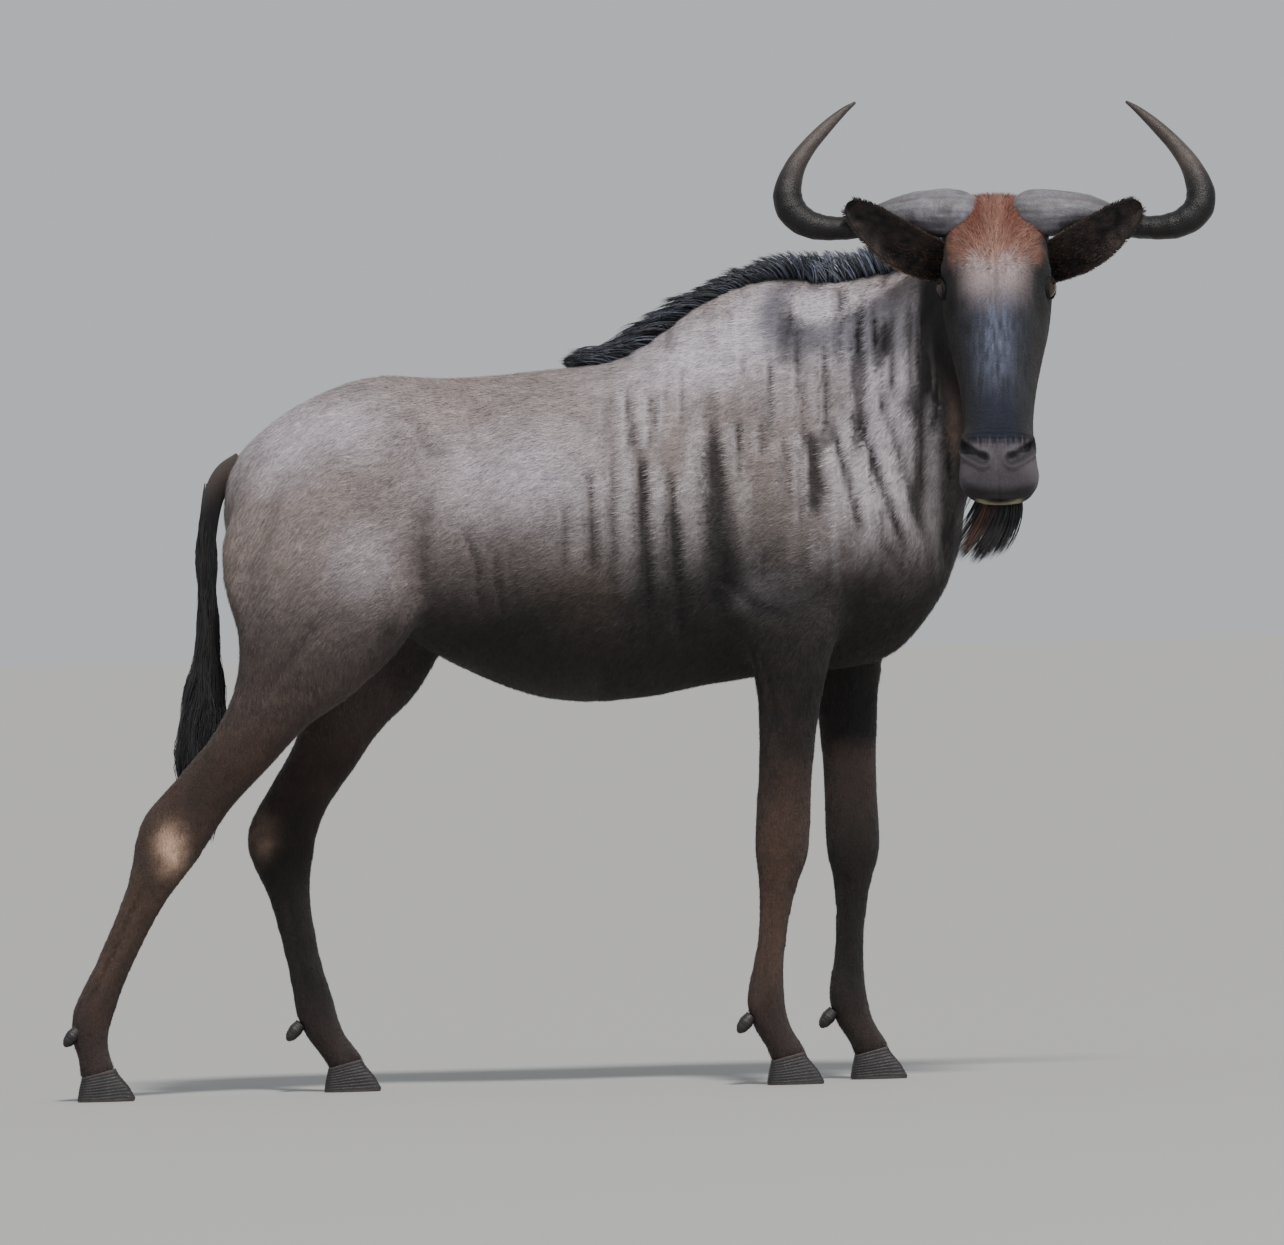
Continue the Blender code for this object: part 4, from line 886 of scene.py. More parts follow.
    def creased(self, points: Array) -> Array:
        """How deep in a crease between muscles each point lies, from 0 to 1: a bell about each line."""
        depth = np.zeros(len(points))
        for x_top, top, x_low, low, half, strength in self.creases:
            start, way = np.array([x_top, top]), np.array([x_low - x_top, low - top])
            offset = points[:, (0, 2)] - start + 0.006 * noise(points, 0.05, 23)[:, None]
            share = np.clip(offset @ way / (way @ way), 0.0, 1.0)
            away = np.linalg.norm(offset - share[:, None] * way, axis=1) / half
            depth += strength * np.exp(-(away**2)) * np.sin(math.pi * (0.12 + 0.76 * share))
        return np.clip(depth, 0.0, 1.0) * ramp(0.03, 0.07, np.abs(points[:, 1]))

    def head_share(self, points: Array) -> Array:
        """1 on the head, 0 behind the jaw and on the neck, soft between."""
        side, down, out = HEAD.read(points).T
        share = ramp(-0.2, -0.15, out + 0.25 * np.maximum(down - 0.12, 0.0)) * ramp(-0.09, -0.05, down)
        return share * ramp(0.135, 0.12, np.abs(side)) * ramp(0.53, 0.5, down)

    def body(self, points: Array, normals: Array) -> Array:
        """The trunk, neck and thighs: silvery grey-brown on top and dark below, mostly painted light and shade, with
        painted highlights and brindle folds.

        Args:
            points: Places in the body's own frame.
            normals: Unit vectors out of the skin there.
        Returns:
            One colour a point.
        """
        x, height, up = points[:, 0], points[:, 2], normals[:, 2]
        mottle = noise(points, 0.085, 1) + 0.5 * noise(points, 0.03, 2)
        fine = noise(points * (0.5, 1.0, 1.6), 0.01, 16)
        # Lighter over the tone line and dark under it: mostly painted light from overhead and painted shade below,
        # partly the coat's own tone.
        line = np.interp(x, *np.array(self.tone).T) + 0.03 * mottle
        light = ramp(-0.15, 0.13, height - line)
        colour = between((34, 29, 28), (130, 118, 115), light + 0.1 * mottle)
        # Painted highlights: silvery patches on croup, thigh, flank, hump, shoulder and elbow, faded on skin that faces
        # down.
        painted_highlight = np.zeros(len(points))
        for at_x, at_z, wide, tall, strength in self.sheen:
            painted_highlight += strength * np.exp(-(((x - at_x) / wide) ** 2 + ((height - at_z) / tall) ** 2))
        painted_highlight = np.clip(painted_highlight * (0.85 + 0.25 * mottle), 0.0, 1.0) * ramp(-0.15, 0.35, up + 0.45)
        colour = wash(colour, (196, 189, 201), 0.72 * painted_highlight)
        colour = wash(colour, (132, 108, 92), 0.3 * ramp(0.1, 0.9, noise(points, 0.22, 4)) * (1.0 - painted_highlight))
        # Painted shade on the belly, the lower body and skin that faces down.
        under = np.maximum(ramp(0.72, 0.62, height), 0.9 * ramp(-0.2, -0.8, up)) * ramp(-0.45, -0.25, x)
        colour = wash(colour, (30, 26, 24), under * 0.9)
        depth, ridge = self.folded(points)
        # Painted highlight on the ridges beside the folds where the painted light falls; the folds' own dark is lighter
        # there too.
        colour = wash(colour, (208, 203, 209), 0.46 * ridge * light)
        dark = between((24, 21, 22), (44, 38, 38), light * 0.5)
        colour = mix(colour, dark, np.clip(1.25 * depth, 0.0, 0.95))
        # Painted shade in the creases between muscles.
        colour = wash(colour, (30, 25, 25), 0.6 * self.creased(points))
        # Painted shade down the throat behind the jaw.
        throat = ramp(0.49, 0.54, x) * ramp(1.22, 1.05, height)
        colour = wash(colour, (30, 25, 25), 0.85 * throat)
        # A light brown strip down the neck beside the jaw: the neck's own colour with painted light on a fold.
        strip = np.exp(-(((x - 0.522 + 0.05 * (height - 1.1)) / 0.01) ** 2)) * ramp(0.98, 1.04, height)
        colour = wash(colour, (150, 124, 108), 0.6 * strip * ramp(1.26, 1.2, height))
        colour = wash(colour, (84, 70, 66), ramp(-0.3, -0.44, x) * 0.6 * ramp(0.82, 0.62, height))
        return colour * (1.0 + 0.18 * fine[:, None])

    def legs(self, points: Array, colour: Array) -> Array:
        """Adds the legs' dark red-brown, painted shade on the far legs, the near hock's tan patch and the dark
        pasterns.

        Args:
            points: Places in the body's own frame.
            colour: The colours so far.
        Returns:
            One colour a point.
        """
        height, side = points[:, 2], points[:, 1]
        fore = points[:, 0] > -0.05
        top = np.where(fore, 0.74, 0.66)
        share = ramp(0.0, 1.0, (top - height) / 0.14)
        mottle = 0.5 + 0.5 * noise(points, 0.045, 7) + 0.25 * noise(points, 0.014, 17)
        dark, red = linear(24, 20, 19)[None], linear(70, 51, 43)[None]
        upper = np.where(fore, ramp(0.46, 0.6, height), 0.0)
        tone = mix(dark, red, np.clip(0.3 + 0.55 * mottle - 0.6 * upper, 0.0, 1.0))
        tone = wash(tone, (84, 65, 54), 0.25 * ramp(0.46, 0.34, height) * ramp(0.14, 0.22, height))
        # Painted shade: the lower far legs, on the animal's left, go near black.
        tone = wash(tone, (10, 8, 8), 0.9 * (side > 0.0) * ramp(0.62, 0.34, height))
        colour = mix(colour, tone, share)
        colour = wash(colour, (46, 36, 34), 0.8 * ramp(0.17, 0.08, height))
        hock = np.exp(-np.sum(((points - (-0.741, -0.1, 0.402)) / (0.021, 0.06, 0.034)) ** 2, axis=1))
        hock += 0.35 * np.exp(-np.sum(((points - (-0.6, 0.085, 0.415)) / (0.02, 0.06, 0.03)) ** 2, axis=1))
        hock = hock * (0.85 + 0.5 * noise(points, 0.012, 24))
        return wash(colour, (228, 190, 164), 0.85 * np.clip(hock, 0.0, 1.0))

    def head(self, points: Array) -> Array:
        """The head: rufous forehead, blue-black face with a grizzled streak under a painted sheen, a painted lit rim,
        mauve-grey muzzle with painted shade in the nostrils.

        Args:
            points: Places in the body's own frame.
        Returns:
            One colour a point.
        """
        side, down, out = HEAD.read(points).T
        wide = np.abs(side)
        grain = noise(HEAD.read(points) * (1.0, 0.14, 0.14), 0.0026, 8)
        blotch = noise(points, 0.022, 18)
        colour = np.tile(linear(9, 9, 14), (len(points), 1))
        colour = wash(colour, (30, 26, 27), ramp(-0.06, -0.13, out) * 0.8)
        # Painted light: a brown lit rim along the face's edges between eyes and muzzle.
        rim = ramp(0.05, 0.064, wide) * ramp(0.17, 0.26, down) * ramp(0.38, 0.34, down)
        colour = wash(colour, (60, 38, 28), 0.3 * rim)
        reach = 0.034 + 0.005 * blotch
        # Grizzled grey hair down the face's middle, with a painted bluish sheen where the face meets the light.
        streak = np.exp(-((wide / reach) ** 2)) * ramp(0.09, 0.17, down) * ramp(0.38, 0.22, down)
        colour = wash(colour, (100, 106, 128), streak * np.clip(0.56 + 0.44 * grain, 0.0, 1.0))
        lower = ramp(0.28, 0.34, down) * ramp(0.05, 0.02, wide) * (out > -0.05)
        colour = wash(colour, (24, 29, 46), 0.7 * lower)
        fawn = ramp(0.074, 0.02, wide + 0.006 * grain)
        fawn = fawn * ramp(0.04, 0.085, down) * ramp(0.19, 0.085, down + 0.018 * grain)
        colour = wash(colour, (176, 158, 158), np.clip(1.25 * fawn, 0.0, 1.0) * np.clip(0.7 + 0.4 * grain, 0.0, 1.0))
        rufous = ramp(0.088, 0.06, wide + 0.008 * blotch) * ramp(0.108, 0.058, down + 0.016 * grain)
        colour = wash(colour, (122, 82, 69), rufous * 0.9)
        fan = np.abs(np.sin(np.arctan2(side, 0.12 - down) * 16.0 + 1.5 * blotch))
        colour = wash(colour, (182, 146, 128), rufous * 0.12 * ramp(0.55, 1.0, fan))
        lobes = np.exp(-(((wide - 0.03) / 0.018) ** 2 + ((down - 0.012) / 0.032) ** 2))
        colour = wash(colour, (94, 44, 28), lobes * 0.85 * rufous)
        centre = ramp(0.014, 0.002, wide) * ramp(0.005, 0.04, down) * rufous
        colour = wash(colour, (150, 116, 102), centre * 0.22)
        places = np.stack([wide, down, out], axis=1)
        socket = ramp(0.052, 0.034, np.linalg.norm((places - np.array(EYE)) * (1.0, 0.8, 1.0), axis=1))
        colour = wash(colour, (17, 15, 17), socket * 0.93)
        muzzle = ramp(0.376, 0.398, down + 0.01 * grain) * ramp(-0.115, -0.08, out)
        colour = wash(colour, (86, 80, 86), muzzle * 0.92)
        # Painted shade inside the nostril openings.
        slit = near_curve(places, spline(FACE.nostril, 16))
        colour = wash(colour, (22, 19, 22), muzzle * 0.95 * ramp(0.016, 0.008, slit))
        lip = ramp(0.437, 0.452, down) * ramp(-0.04, -0.058, out)
        colour = wash(colour, (40, 35, 38), lip)
        pale = ramp(-0.073, -0.078, out) * ramp(0.43, 0.442, down) * ramp(0.042, 0.028, wide) * (out > -0.104)
        return wash(colour, (176, 166, 134), 0.65 * pale)

    def tint(self, points: Array, normals: Array) -> Array:
        """Colour of skin or coat at each point, in linear light.

        Args:
            points: Places in the body's own frame.
            normals: Unit vectors out of the skin there.
        Returns:
            One colour a point.
        """
        colour = self.legs(points, self.body(points, normals))
        off_crest = np.abs(points[:, 1] - np.interp(points[:, 0], *self.crest.T)) + 0.6 * np.maximum(
            np.interp(points[:, 0], *self.crest_top.T) - points[:, 2], 0.0)
        mane = ramp(0.034, 0.016, off_crest) * ramp(-0.09, -0.03, points[:, 0]) * ramp(0.585, 0.555, points[:, 0])
        colour = wash(colour, (30, 28, 32), mane)
        colour = mix(colour, self.head(points), self.head_share(points))
        return np.clip(colour * (1.0 + 0.1 * noise(points, 0.018, 9)[:, None]), 0.002, 1.0)


MARKINGS = Markings()
FACE = Face()
FLESH = Flesh()


def strand_mesh(name: str, lines: Array, across: Array, half: Array, flat: float, taper: Array,
                colours: Array) -> bpy.types.Mesh:
    """Tapered strands: three-point rings along each line and a point at its tip.

    A ring's points lie at thirds of a turn on an oval whose half width is half times taper and
    whose thickness is flat times that.

    Args:
        name: The mesh's name.
        lines: Centre lines as strands by stations by 3, the last station the tip.
        across: Unit vector of each strand's width.
        half: Half width of each strand.
        flat: Thickness as a share of width.
        taper: Width of each ring as a share of the half width.
        colours: One colour a strand, or one a station.
    Returns:
        The new mesh, closed at every root.
    """
    count, stations = lines.shape[:2]
    rings = stations - 1
    along = unit(np.gradient(lines, axis=1))[:, :rings]
    square = unit(np.cross(along, np.broadcast_to(across[:, None, :], along.shape)))
    wide = unit(np.cross(square, along))
    size = half[:, None, None] * np.asarray(taper)[None, :rings, None]
    points = np.empty((count, rings * 3 + 1, 3))
    for turn in range(3):
        angle = 2 * math.pi * turn / 3 + math.pi / 2
        points[:, turn:rings * 3:3] = lines[:, :rings] + size * (math.cos(angle) * wide
                                                               + flat * math.sin(angle) * square)
    points[:, -1] = lines[:, -1]
    ring, turn = np.meshgrid(np.arange(rings - 1), np.arange(3), indexing="ij")
    after = (turn + 1) % 3
    quads = np.stack([ring * 3 + turn, ring * 3 + after, ring * 3 + 3 + after, ring * 3 + 3 + turn],
                     axis=-1).reshape(-1, 4)
    last = (rings - 1) * 3
    triangles = np.array([[0, 2, 1], [last, last + 1, last + 3], [last + 1, last + 2, last + 3],
                          [last + 2, last, last + 3]])
    start = (np.arange(count) * (rings * 3 + 1))[:, None, None]
    mesh = make_mesh(name, points.reshape(-1, 3), (start + quads).reshape(-1, 4), (start + triangles).reshape(-1, 3))
    if colours.ndim == 2:
        colours = np.repeat(colours[:, None, :], stations, axis=1)
    spread = np.concatenate([np.repeat(colours[:, :rings], 3, axis=1), colours[:, -1:]], axis=1)
    paint(mesh, "tint", spread.reshape(-1, 3))
    return mesh


@dataclass(frozen=True)
class Horns:
    """Both horns: heavy bosses over the crown, beams dipping out past the ears, tips turned in.

    Stations are out, up and forward off the forehead, half height and half depth. Growth rings
    swell the base and fade toward the polished tip.
    """

    stations: int = 200
    sides: int = 48
    sway: float = -0.055
    rows: Rows = (
        (0.03, -0.006, -0.052, 0.026, 0.04), (0.055, -0.006, -0.05, 0.038, 0.054),
        (0.095, -0.006, -0.05, 0.038, 0.053), (0.14, -0.006, -0.048, 0.031, 0.042),
        (0.19, -0.019, -0.043, 0.024, 0.031), (0.24, -0.03, -0.035, 0.019, 0.024),
        (0.288, -0.026, -0.029, 0.022, 0.025), (0.319, -0.006, -0.03, 0.0245, 0.025),
        (0.328, 0.024, -0.036, 0.0235, 0.023), (0.316, 0.064, -0.047, 0.018, 0.018),
        (0.294, 0.098, -0.062, 0.014, 0.015), (0.264, 0.131, -0.079, 0.011, 0.011),
        (0.236, 0.157, -0.093, 0.007, 0.007), (0.216, 0.172, -0.102, 0.003, 0.003),
    )

    def mesh(self, side: Side) -> bpy.types.Mesh:
        """One horn, painted from grey-brown boss to dark beam and brown-grey tip, with a painted highlight on the
        boss's top.

        Args:
            side: Which one of the two.
        Returns:
            The new mesh, painted.
        """
        out, up, forward, tall, deep = spline(self.rows, self.stations).T
        hand = side.value
        centres = HEAD.off(hand * out + self.sway * np.maximum(up, 0.0), up, forward)
        along = unit(np.gradient(centres, axis=0))
        level = np.tile(HEAD.level, (len(out), 1))
        across = unit(level - along * np.sum(level * along, axis=1, keepdims=True))
        upright = np.cross(across, along) * -hand
        share = np.linspace(0.0, 1.0, self.stations)
        run = np.concatenate([[0.0], np.cumsum(np.linalg.norm(np.diff(centres, axis=0), axis=1))])
        rings = oval_rings(centres, across, upright, deep, tall, tall, 2.1, self.sides)
        flat = rings.reshape(-1, 3)
        angle = np.linspace(0.0, 2 * math.pi, self.sides, endpoint=False)[None]
        wander = noise(flat, 0.035, 11).reshape(rings.shape[:2]) + 0.5 * noise(flat, 0.012, 12).reshape(rings.shape[:2])
        rib = (0.5 + 0.5 * np.sin(run[:, None] * 640.0 + 2.6 * wander)) ** 0.8
        strand = np.sin(angle * 13.0 + 2.5 * wander + run[:, None] * 14.0) * np.sin(angle * 7.0 - 1.4 * wander)
        boss = ramp(0.4, 0.16, share)[:, None]
        knots = ramp(0.3, 0.4, share)[:, None] * ramp(0.72, 0.58, share)[:, None]
        lump = 0.00035 * ramp(0.62, 0.3, share)[:, None] * rib * (1.0 - 0.8 * boss)
        lump += 0.00055 * boss * strand + 0.0012 * boss * wander
        lump += 0.0007 * knots * (0.5 + 0.5 * np.sin(run[:, None] * 250.0 + 1.2 * wander)) ** 2
        outward = unit(rings - centres[:, None, :])
        rings = rings + (lump - 0.0008)[..., None] * outward
        mesh = loft(f"horn_{side.word}", rings, 0.0015)
        whole = np.ones((1, self.sides))
        streak = np.clip(0.5 + 0.35 * wander + 0.35 * strand, 0.0, 1.0)
        colour = between((7, 6, 7), (20, 17, 17), streak.ravel())
        pale = between((70, 67, 69), (120, 118, 127), streak.ravel())
        colour = mix(colour, pale, (boss * (0.92 + 0.08 * rib)).ravel())
        # Painted highlight on the upper side of the boss.
        painted_top_highlight = ramp(-0.5, 0.9, outward[..., 2])
        colour = wash(colour, (150, 146, 150), (0.15 * painted_top_highlight * boss).ravel())
        tip = ramp(0.6, 0.74, share)[:, None] * whole
        colour = wash(colour, (84, 74, 71), (tip * (0.4 + 0.35 * streak)).ravel())
        colour = wash(colour, (58, 50, 48), (0.7 * ramp(0.9, 1.0, share)[:, None] * whole).ravel())
        return paint_rings(mesh, colour, self.sides)


@dataclass(frozen=True)
class Ears:
    """Broad leaf-shaped ears that stand out level, their hollow turned forward."""

    root: tuple[float, float, float] = (0.07, -0.096, -0.082)
    middle: tuple[float, float, float] = (0.15, -0.056, -0.01)
    tip: tuple[float, float, float] = (0.232, 0.008, 0.01)
    half_width: float = 0.039
    wall: float = 0.003
    hairs: int = 3600
    stations: int = 64
    sides: int = 44

    def frame(self, side: Side, stations: int) -> tuple[Array, Array, Array, Array, Array]:
        """Centre line, half widths, cup depths and the axes across and into the hollow.

        Args:
            side: Which one of the two.
            stations: How many places along the ear.
        Returns:
            The five arrays, one row a place.
        """
        hand = side.value
        line = spline([HEAD.off(hand * a, b, c) for a, b, c in (self.root, self.middle, self.tip)], stations)
        t = np.linspace(0.0, 1.0, stations)
        half = self.half_width * np.clip(np.sin(math.pi * (0.1 + 0.9 * t) ** 0.8), 0.0, 1.0) ** 0.42 + 0.0025
        cup = np.minimum(0.02 * (1.0 - t) ** 0.6 + 0.007, half)
        along = unit(np.gradient(line, axis=0))
        opening = unit(0.88 * HEAD.level + 0.25 * hand * HEAD.side - 0.3 * UP)
        opening = unit(opening - along * (along @ opening)[:, None])
        return line, half, cup, unit(np.cross(along, opening)), opening

    def mesh(self, side: Side) -> bpy.types.Mesh:
        """One ear: a leaf rolled to a cup, its back and its hollow a wall apart.

        Round each ring the back runs from edge to edge at the cup's depth times one less the
        square of the place across, and the hollow runs back with three low folds.

        Args:
            side: Which one of the two.
        Returns:
            The new mesh, painted.
        """
        line, half, cup, across, opening = self.frame(side, self.stations)
        count = self.sides // 2
        place = -np.cos(np.linspace(0.0, math.pi, count))
        t = np.linspace(0.0, 1.0, self.stations)[:, None]
        inner_half, inner_cup = half - np.minimum(self.wall, 0.3 * half), cup - np.minimum(self.wall, 0.4 * cup)
        back = half[:, None] * place[None], -cup[:, None] * (1.0 - place**2)[None]
        turned = place[::-1]
        fold = sum(0.0022 * np.exp(-(((turned - at) / 0.1) ** 2)) for at in (-0.45, 0.0, 0.45))
        hollow = (inner_half[:, None] * turned[None],
                  -inner_cup[:, None] * (1.0 - turned**2)[None] + fold[None] * ramp(1.0, 0.5, t) * ramp(0.0, 0.1, t))
        wide, deep = np.hstack([back[0], hollow[0]]), np.hstack([back[1], hollow[1]])
        rings = line[:, None] + wide[..., None] * across[:, None] + deep[..., None] * opening[:, None]
        mesh = loft(f"ear_{side.word}", rings, 0.0)
        flat = rings.reshape(-1, 3)
        speck = np.clip(0.5 + 0.8 * noise(flat, 0.01, 14), 0.0, 1.0)
        outer = between((64, 54, 50), (100, 82, 70), speck)
        inner = between((14, 12, 14), (76, 62, 58), speck * 0.6)
        in_hollow = np.tile((np.arange(2 * count) >= count)[None], (self.stations, 1)).astype(float).ravel()
        colour = mix(outer, inner, in_hollow)
        edge = ramp(0.86, 1.0, np.abs(wide) / half[:, None]).ravel()
        colour = wash(colour, (70, 52, 44), edge * 0.7)
        return paint_rings(mesh, colour, 2 * count)

    def fur(self, side: Side) -> bpy.types.Mesh:
        """Hair on the ear's back, its edges and in its hollow, along the ear and out over its rim.

        Args:
            side: Which one of the two.
        Returns:
            The new mesh.
        """
        draw, count = np.random.default_rng(80 + side.value), self.hairs
        line, half, cup, across, opening = self.frame(side, 200)
        t = draw.uniform(0.0, 0.985, count)
        index = (t * 199).astype(int)
        place = np.clip(draw.uniform(-1.0, 1.0, count), -0.99, 0.99)
        kind = draw.uniform(0.0, 1.0, count)
        hollow, rim = kind < 0.36, kind > 0.8
        place = np.where(rim, np.sign(place) * 0.985, place)
        wall = np.where(hollow, self.wall, 0.0)
        wide, deep = half[index] - np.minimum(wall, 0.3 * half[index]), cup[index] - np.minimum(wall, 0.4 * cup[index])
        root = (line[index] + (wide * place)[:, None] * across[index]
                - (deep * (1.0 - place**2))[:, None] * opening[index])
        along = unit(np.gradient(line, axis=0))[index]
        slope = (2.0 * deep * place / wide)[:, None]
        out = unit(across[index] * slope * np.where(hollow, -1.0, 1.0)[:, None]
                   + opening[index] * np.where(hollow, 1.0, -1.0)[:, None])
        way = along + 0.35 * out + draw.normal(0.0, 0.18, (count, 3))
        way = np.where(rim[:, None], 0.75 * along + np.sign(place)[:, None] * across[index] * 0.55
                       + 0.45 * opening[index] + draw.normal(0.0, 0.15, (count, 3)), way)
        inward = 0.9 * along - 0.55 * place[:, None] * across[index] + 0.55 * opening[index]
        way = unit(np.where((hollow & (np.abs(place) > 0.45))[:, None], inward + draw.normal(0, 0.2, (count, 3)), way))
        length = np.where(rim, 0.0055, np.where(hollow, 0.011 * (1.25 - t), 0.0055)) * draw.uniform(0.6, 1.2, count)
        bend = (0.3 * length)[:, None] * along
        lines = np.stack([root - 0.0005 * out, root + 0.55 * length[:, None] * way,
                          root + length[:, None] * way + bend], axis=1)
        tone = draw.uniform(0.0, 1.0, (count, 1))
        outer = linear(54, 45, 42)[None] * (1 - tone) + linear(112, 90, 76)[None] * tone
        pale = (tone**2) * ramp(0.75, 0.1, t)[:, None]
        inner = linear(30, 25, 25)[None] * (1 - pale) + linear(178, 142, 118)[None] * pale
        colours = np.where((hollow | rim)[:, None], inner, outer)
        mesh = strand_mesh(f"ear_{side.word}_fur", lines, unit(np.cross(way, out)),
                           np.where(hollow, 0.0005, 0.0007), 0.4, np.array([1.0, 0.75, 0.0]), colours)
        set_bake_map(mesh, np.stack([0.03 + 0.94 * t, 0.5 + 0.22 * place + np.where(hollow, 0.24, -0.24)], axis=1), 7)
        return mesh


@dataclass(frozen=True)
class Eyes:
    """Dark eyeballs deep in their lids, with a low bulge of cornea over iris and long pupil."""

    rows: int = 64
    columns: int = 96

    def mesh(self, side: Side) -> bpy.types.Mesh:
        """One eye: a sphere whose front bulges by a bell, its rings running out from the look.

        Args:
            side: Which one of the two.
        Returns:
            The new mesh, painted.
        """
        centre, look, long_way, short_way = FACE.eye_axes(side)
        polar = np.linspace(0.02, math.pi - 0.02, self.rows)[:, None]
        turn = np.linspace(0.0, 2 * math.pi, self.columns, endpoint=False)[None]
        radius = EYE_RADIUS - 0.0006 + 0.0007 * bell(polar, 0.0, 0.5)
        flat = radius * np.sin(polar)
        points = (centre + (radius * np.cos(polar) * np.ones_like(turn))[..., None] * look
                  + (flat * np.cos(turn))[..., None] * long_way + (flat * np.sin(turn))[..., None] * short_way)
        mesh = loft(f"eye_{side.word}", points, 0.0)
        pupil = np.sqrt((np.sin(polar) * np.cos(turn) / 0.34) ** 2 + (np.sin(polar) * np.sin(turn) / 0.2) ** 2)
        iris = np.sin(polar) * np.ones_like(turn)
        colour = np.tile(linear(20, 15, 15), (points.shape[0] * points.shape[1], 1))
        ring = 0.5 + 0.5 * noise(np.stack([np.cos(turn) * np.ones_like(polar), np.sin(turn) * np.ones_like(polar),
                                           polar * np.ones_like(turn)], axis=-1).reshape(-1, 3), 0.12, 15)
        brown = mix(linear(36, 24, 18)[None] * np.ones((len(colour), 1)), linear(58, 38, 26)[None], ring)
        front = (np.cos(polar) > 0) * np.ones_like(turn)
        colour = mix(colour, brown, (ramp(0.62, 0.54, iris) * front).ravel())
        colour = wash(colour, (6, 6, 9), (ramp(1.08, 0.95, pupil) * front).ravel())
        return paint_rings(mesh, colour, self.columns)


def set_bake_map(mesh: bpy.types.Mesh, places: Array, corners: int) -> None:
    """Gives each tuft a patch 0.003 across at its root's place in a map named OFBake.

    Args:
        mesh: A mesh of tufts with the same number of vertices each.
        places: The root's place in the unwrap, one row a tuft.
        corners: Vertices a tuft.
    """
    turn = np.linspace(0.0, 2 * math.pi, corners, endpoint=False)
    patch = 0.0015 * np.stack([np.cos(turn), np.sin(turn)], axis=1)
    spread = (np.clip(places, 0.002, 0.998)[:, None, :] + patch[None]).reshape(-1, 2)
    layer = mesh.uv_layers.new(name="OFBake")
    index = np.empty(len(mesh.loops), dtype=np.int32)
    mesh.loops.foreach_get("vertex_index", index)
    layer.data.foreach_set("uv", spread[index].astype(np.float32).ravel())


@dataclass(frozen=True)
class Region:
    """A stretch of the body whose fur is one piece, with the unwrap it lies on.

    The unwrap is a cylinder: along a line from low to high, and round it from a seam on the far
    side of ahead.
    """

    name: str
    slot: str
    share: float
    low: tuple[float, float, float]
    high: tuple[float, float, float]
    ahead: tuple[float, float, float]

    def unwrap(self, points: Array) -> Array:
        """Places on the cylinder: the share along its line and the share of a turn round it.

        Args:
            points: Places in the body's own frame.
        Returns:
            Two shares a point.
        """
        low, high = np.array(self.low), np.array(self.high)
        axis = high - low
        along = (points - low) @ axis / (axis @ axis)
        way = unit(axis)
        first = unit(np.array(self.ahead) - way * (np.array(self.ahead) @ way))
        offset = points - low - np.outer(along, axis)
        turn = np.arctan2(offset @ np.cross(way, first), offset @ first)
        return np.stack([0.03 + 0.94 * np.clip(along, 0.0, 1.0), 0.5 + 0.47 * turn / math.pi], axis=1)


def leg_region(name: str) -> Region:
    """The region of one leg, from hoof to elbow or stifle."""
    foot, top = LEGS[name].line()[4], LEGS[name].line()[1]
    return Region(name, "leg_coat", 1.45, tuple(foot), (*top[:2], 0.8), (1.0, 0.0, 0.0))


def side_regions(name: str, low: tuple[float, float, float], high: tuple[float, float, float]) -> list[Region]:
    """The right and the left region of a stretch of the body, whose line may lie off the middle."""
    return [Region(f"{name}_{side.word}", "coat", 1.0, *((x, y * side.value if name == "haunch" else y, z)
            for x, y, z in (low, high)), (0.0, side.value, 0.0)) for side in Side]


REGIONS: tuple[Region, ...] = (
    Region("face", "face", 3.0, tuple(HEAD.place(0.0, 0.48, -0.09)), tuple(HEAD.place(0.0, -0.06, -0.09)),
           tuple(HEAD.out)),
    *side_regions("neck", (0.3, 0.0, 0.95), (0.6, -0.12, 1.25)),
    *side_regions("shoulder", (-0.1, 0.0, 0.92), (0.42, 0.0, 0.92)),
    *side_regions("flank", (-0.45, 0.0, 0.9), (0.0, 0.0, 0.9)),
    *side_regions("haunch", (-0.8, 0.1, 0.85), (-0.25, 0.1, 0.85)),
    *(leg_region(name) for name in LEG_NAMES),
)


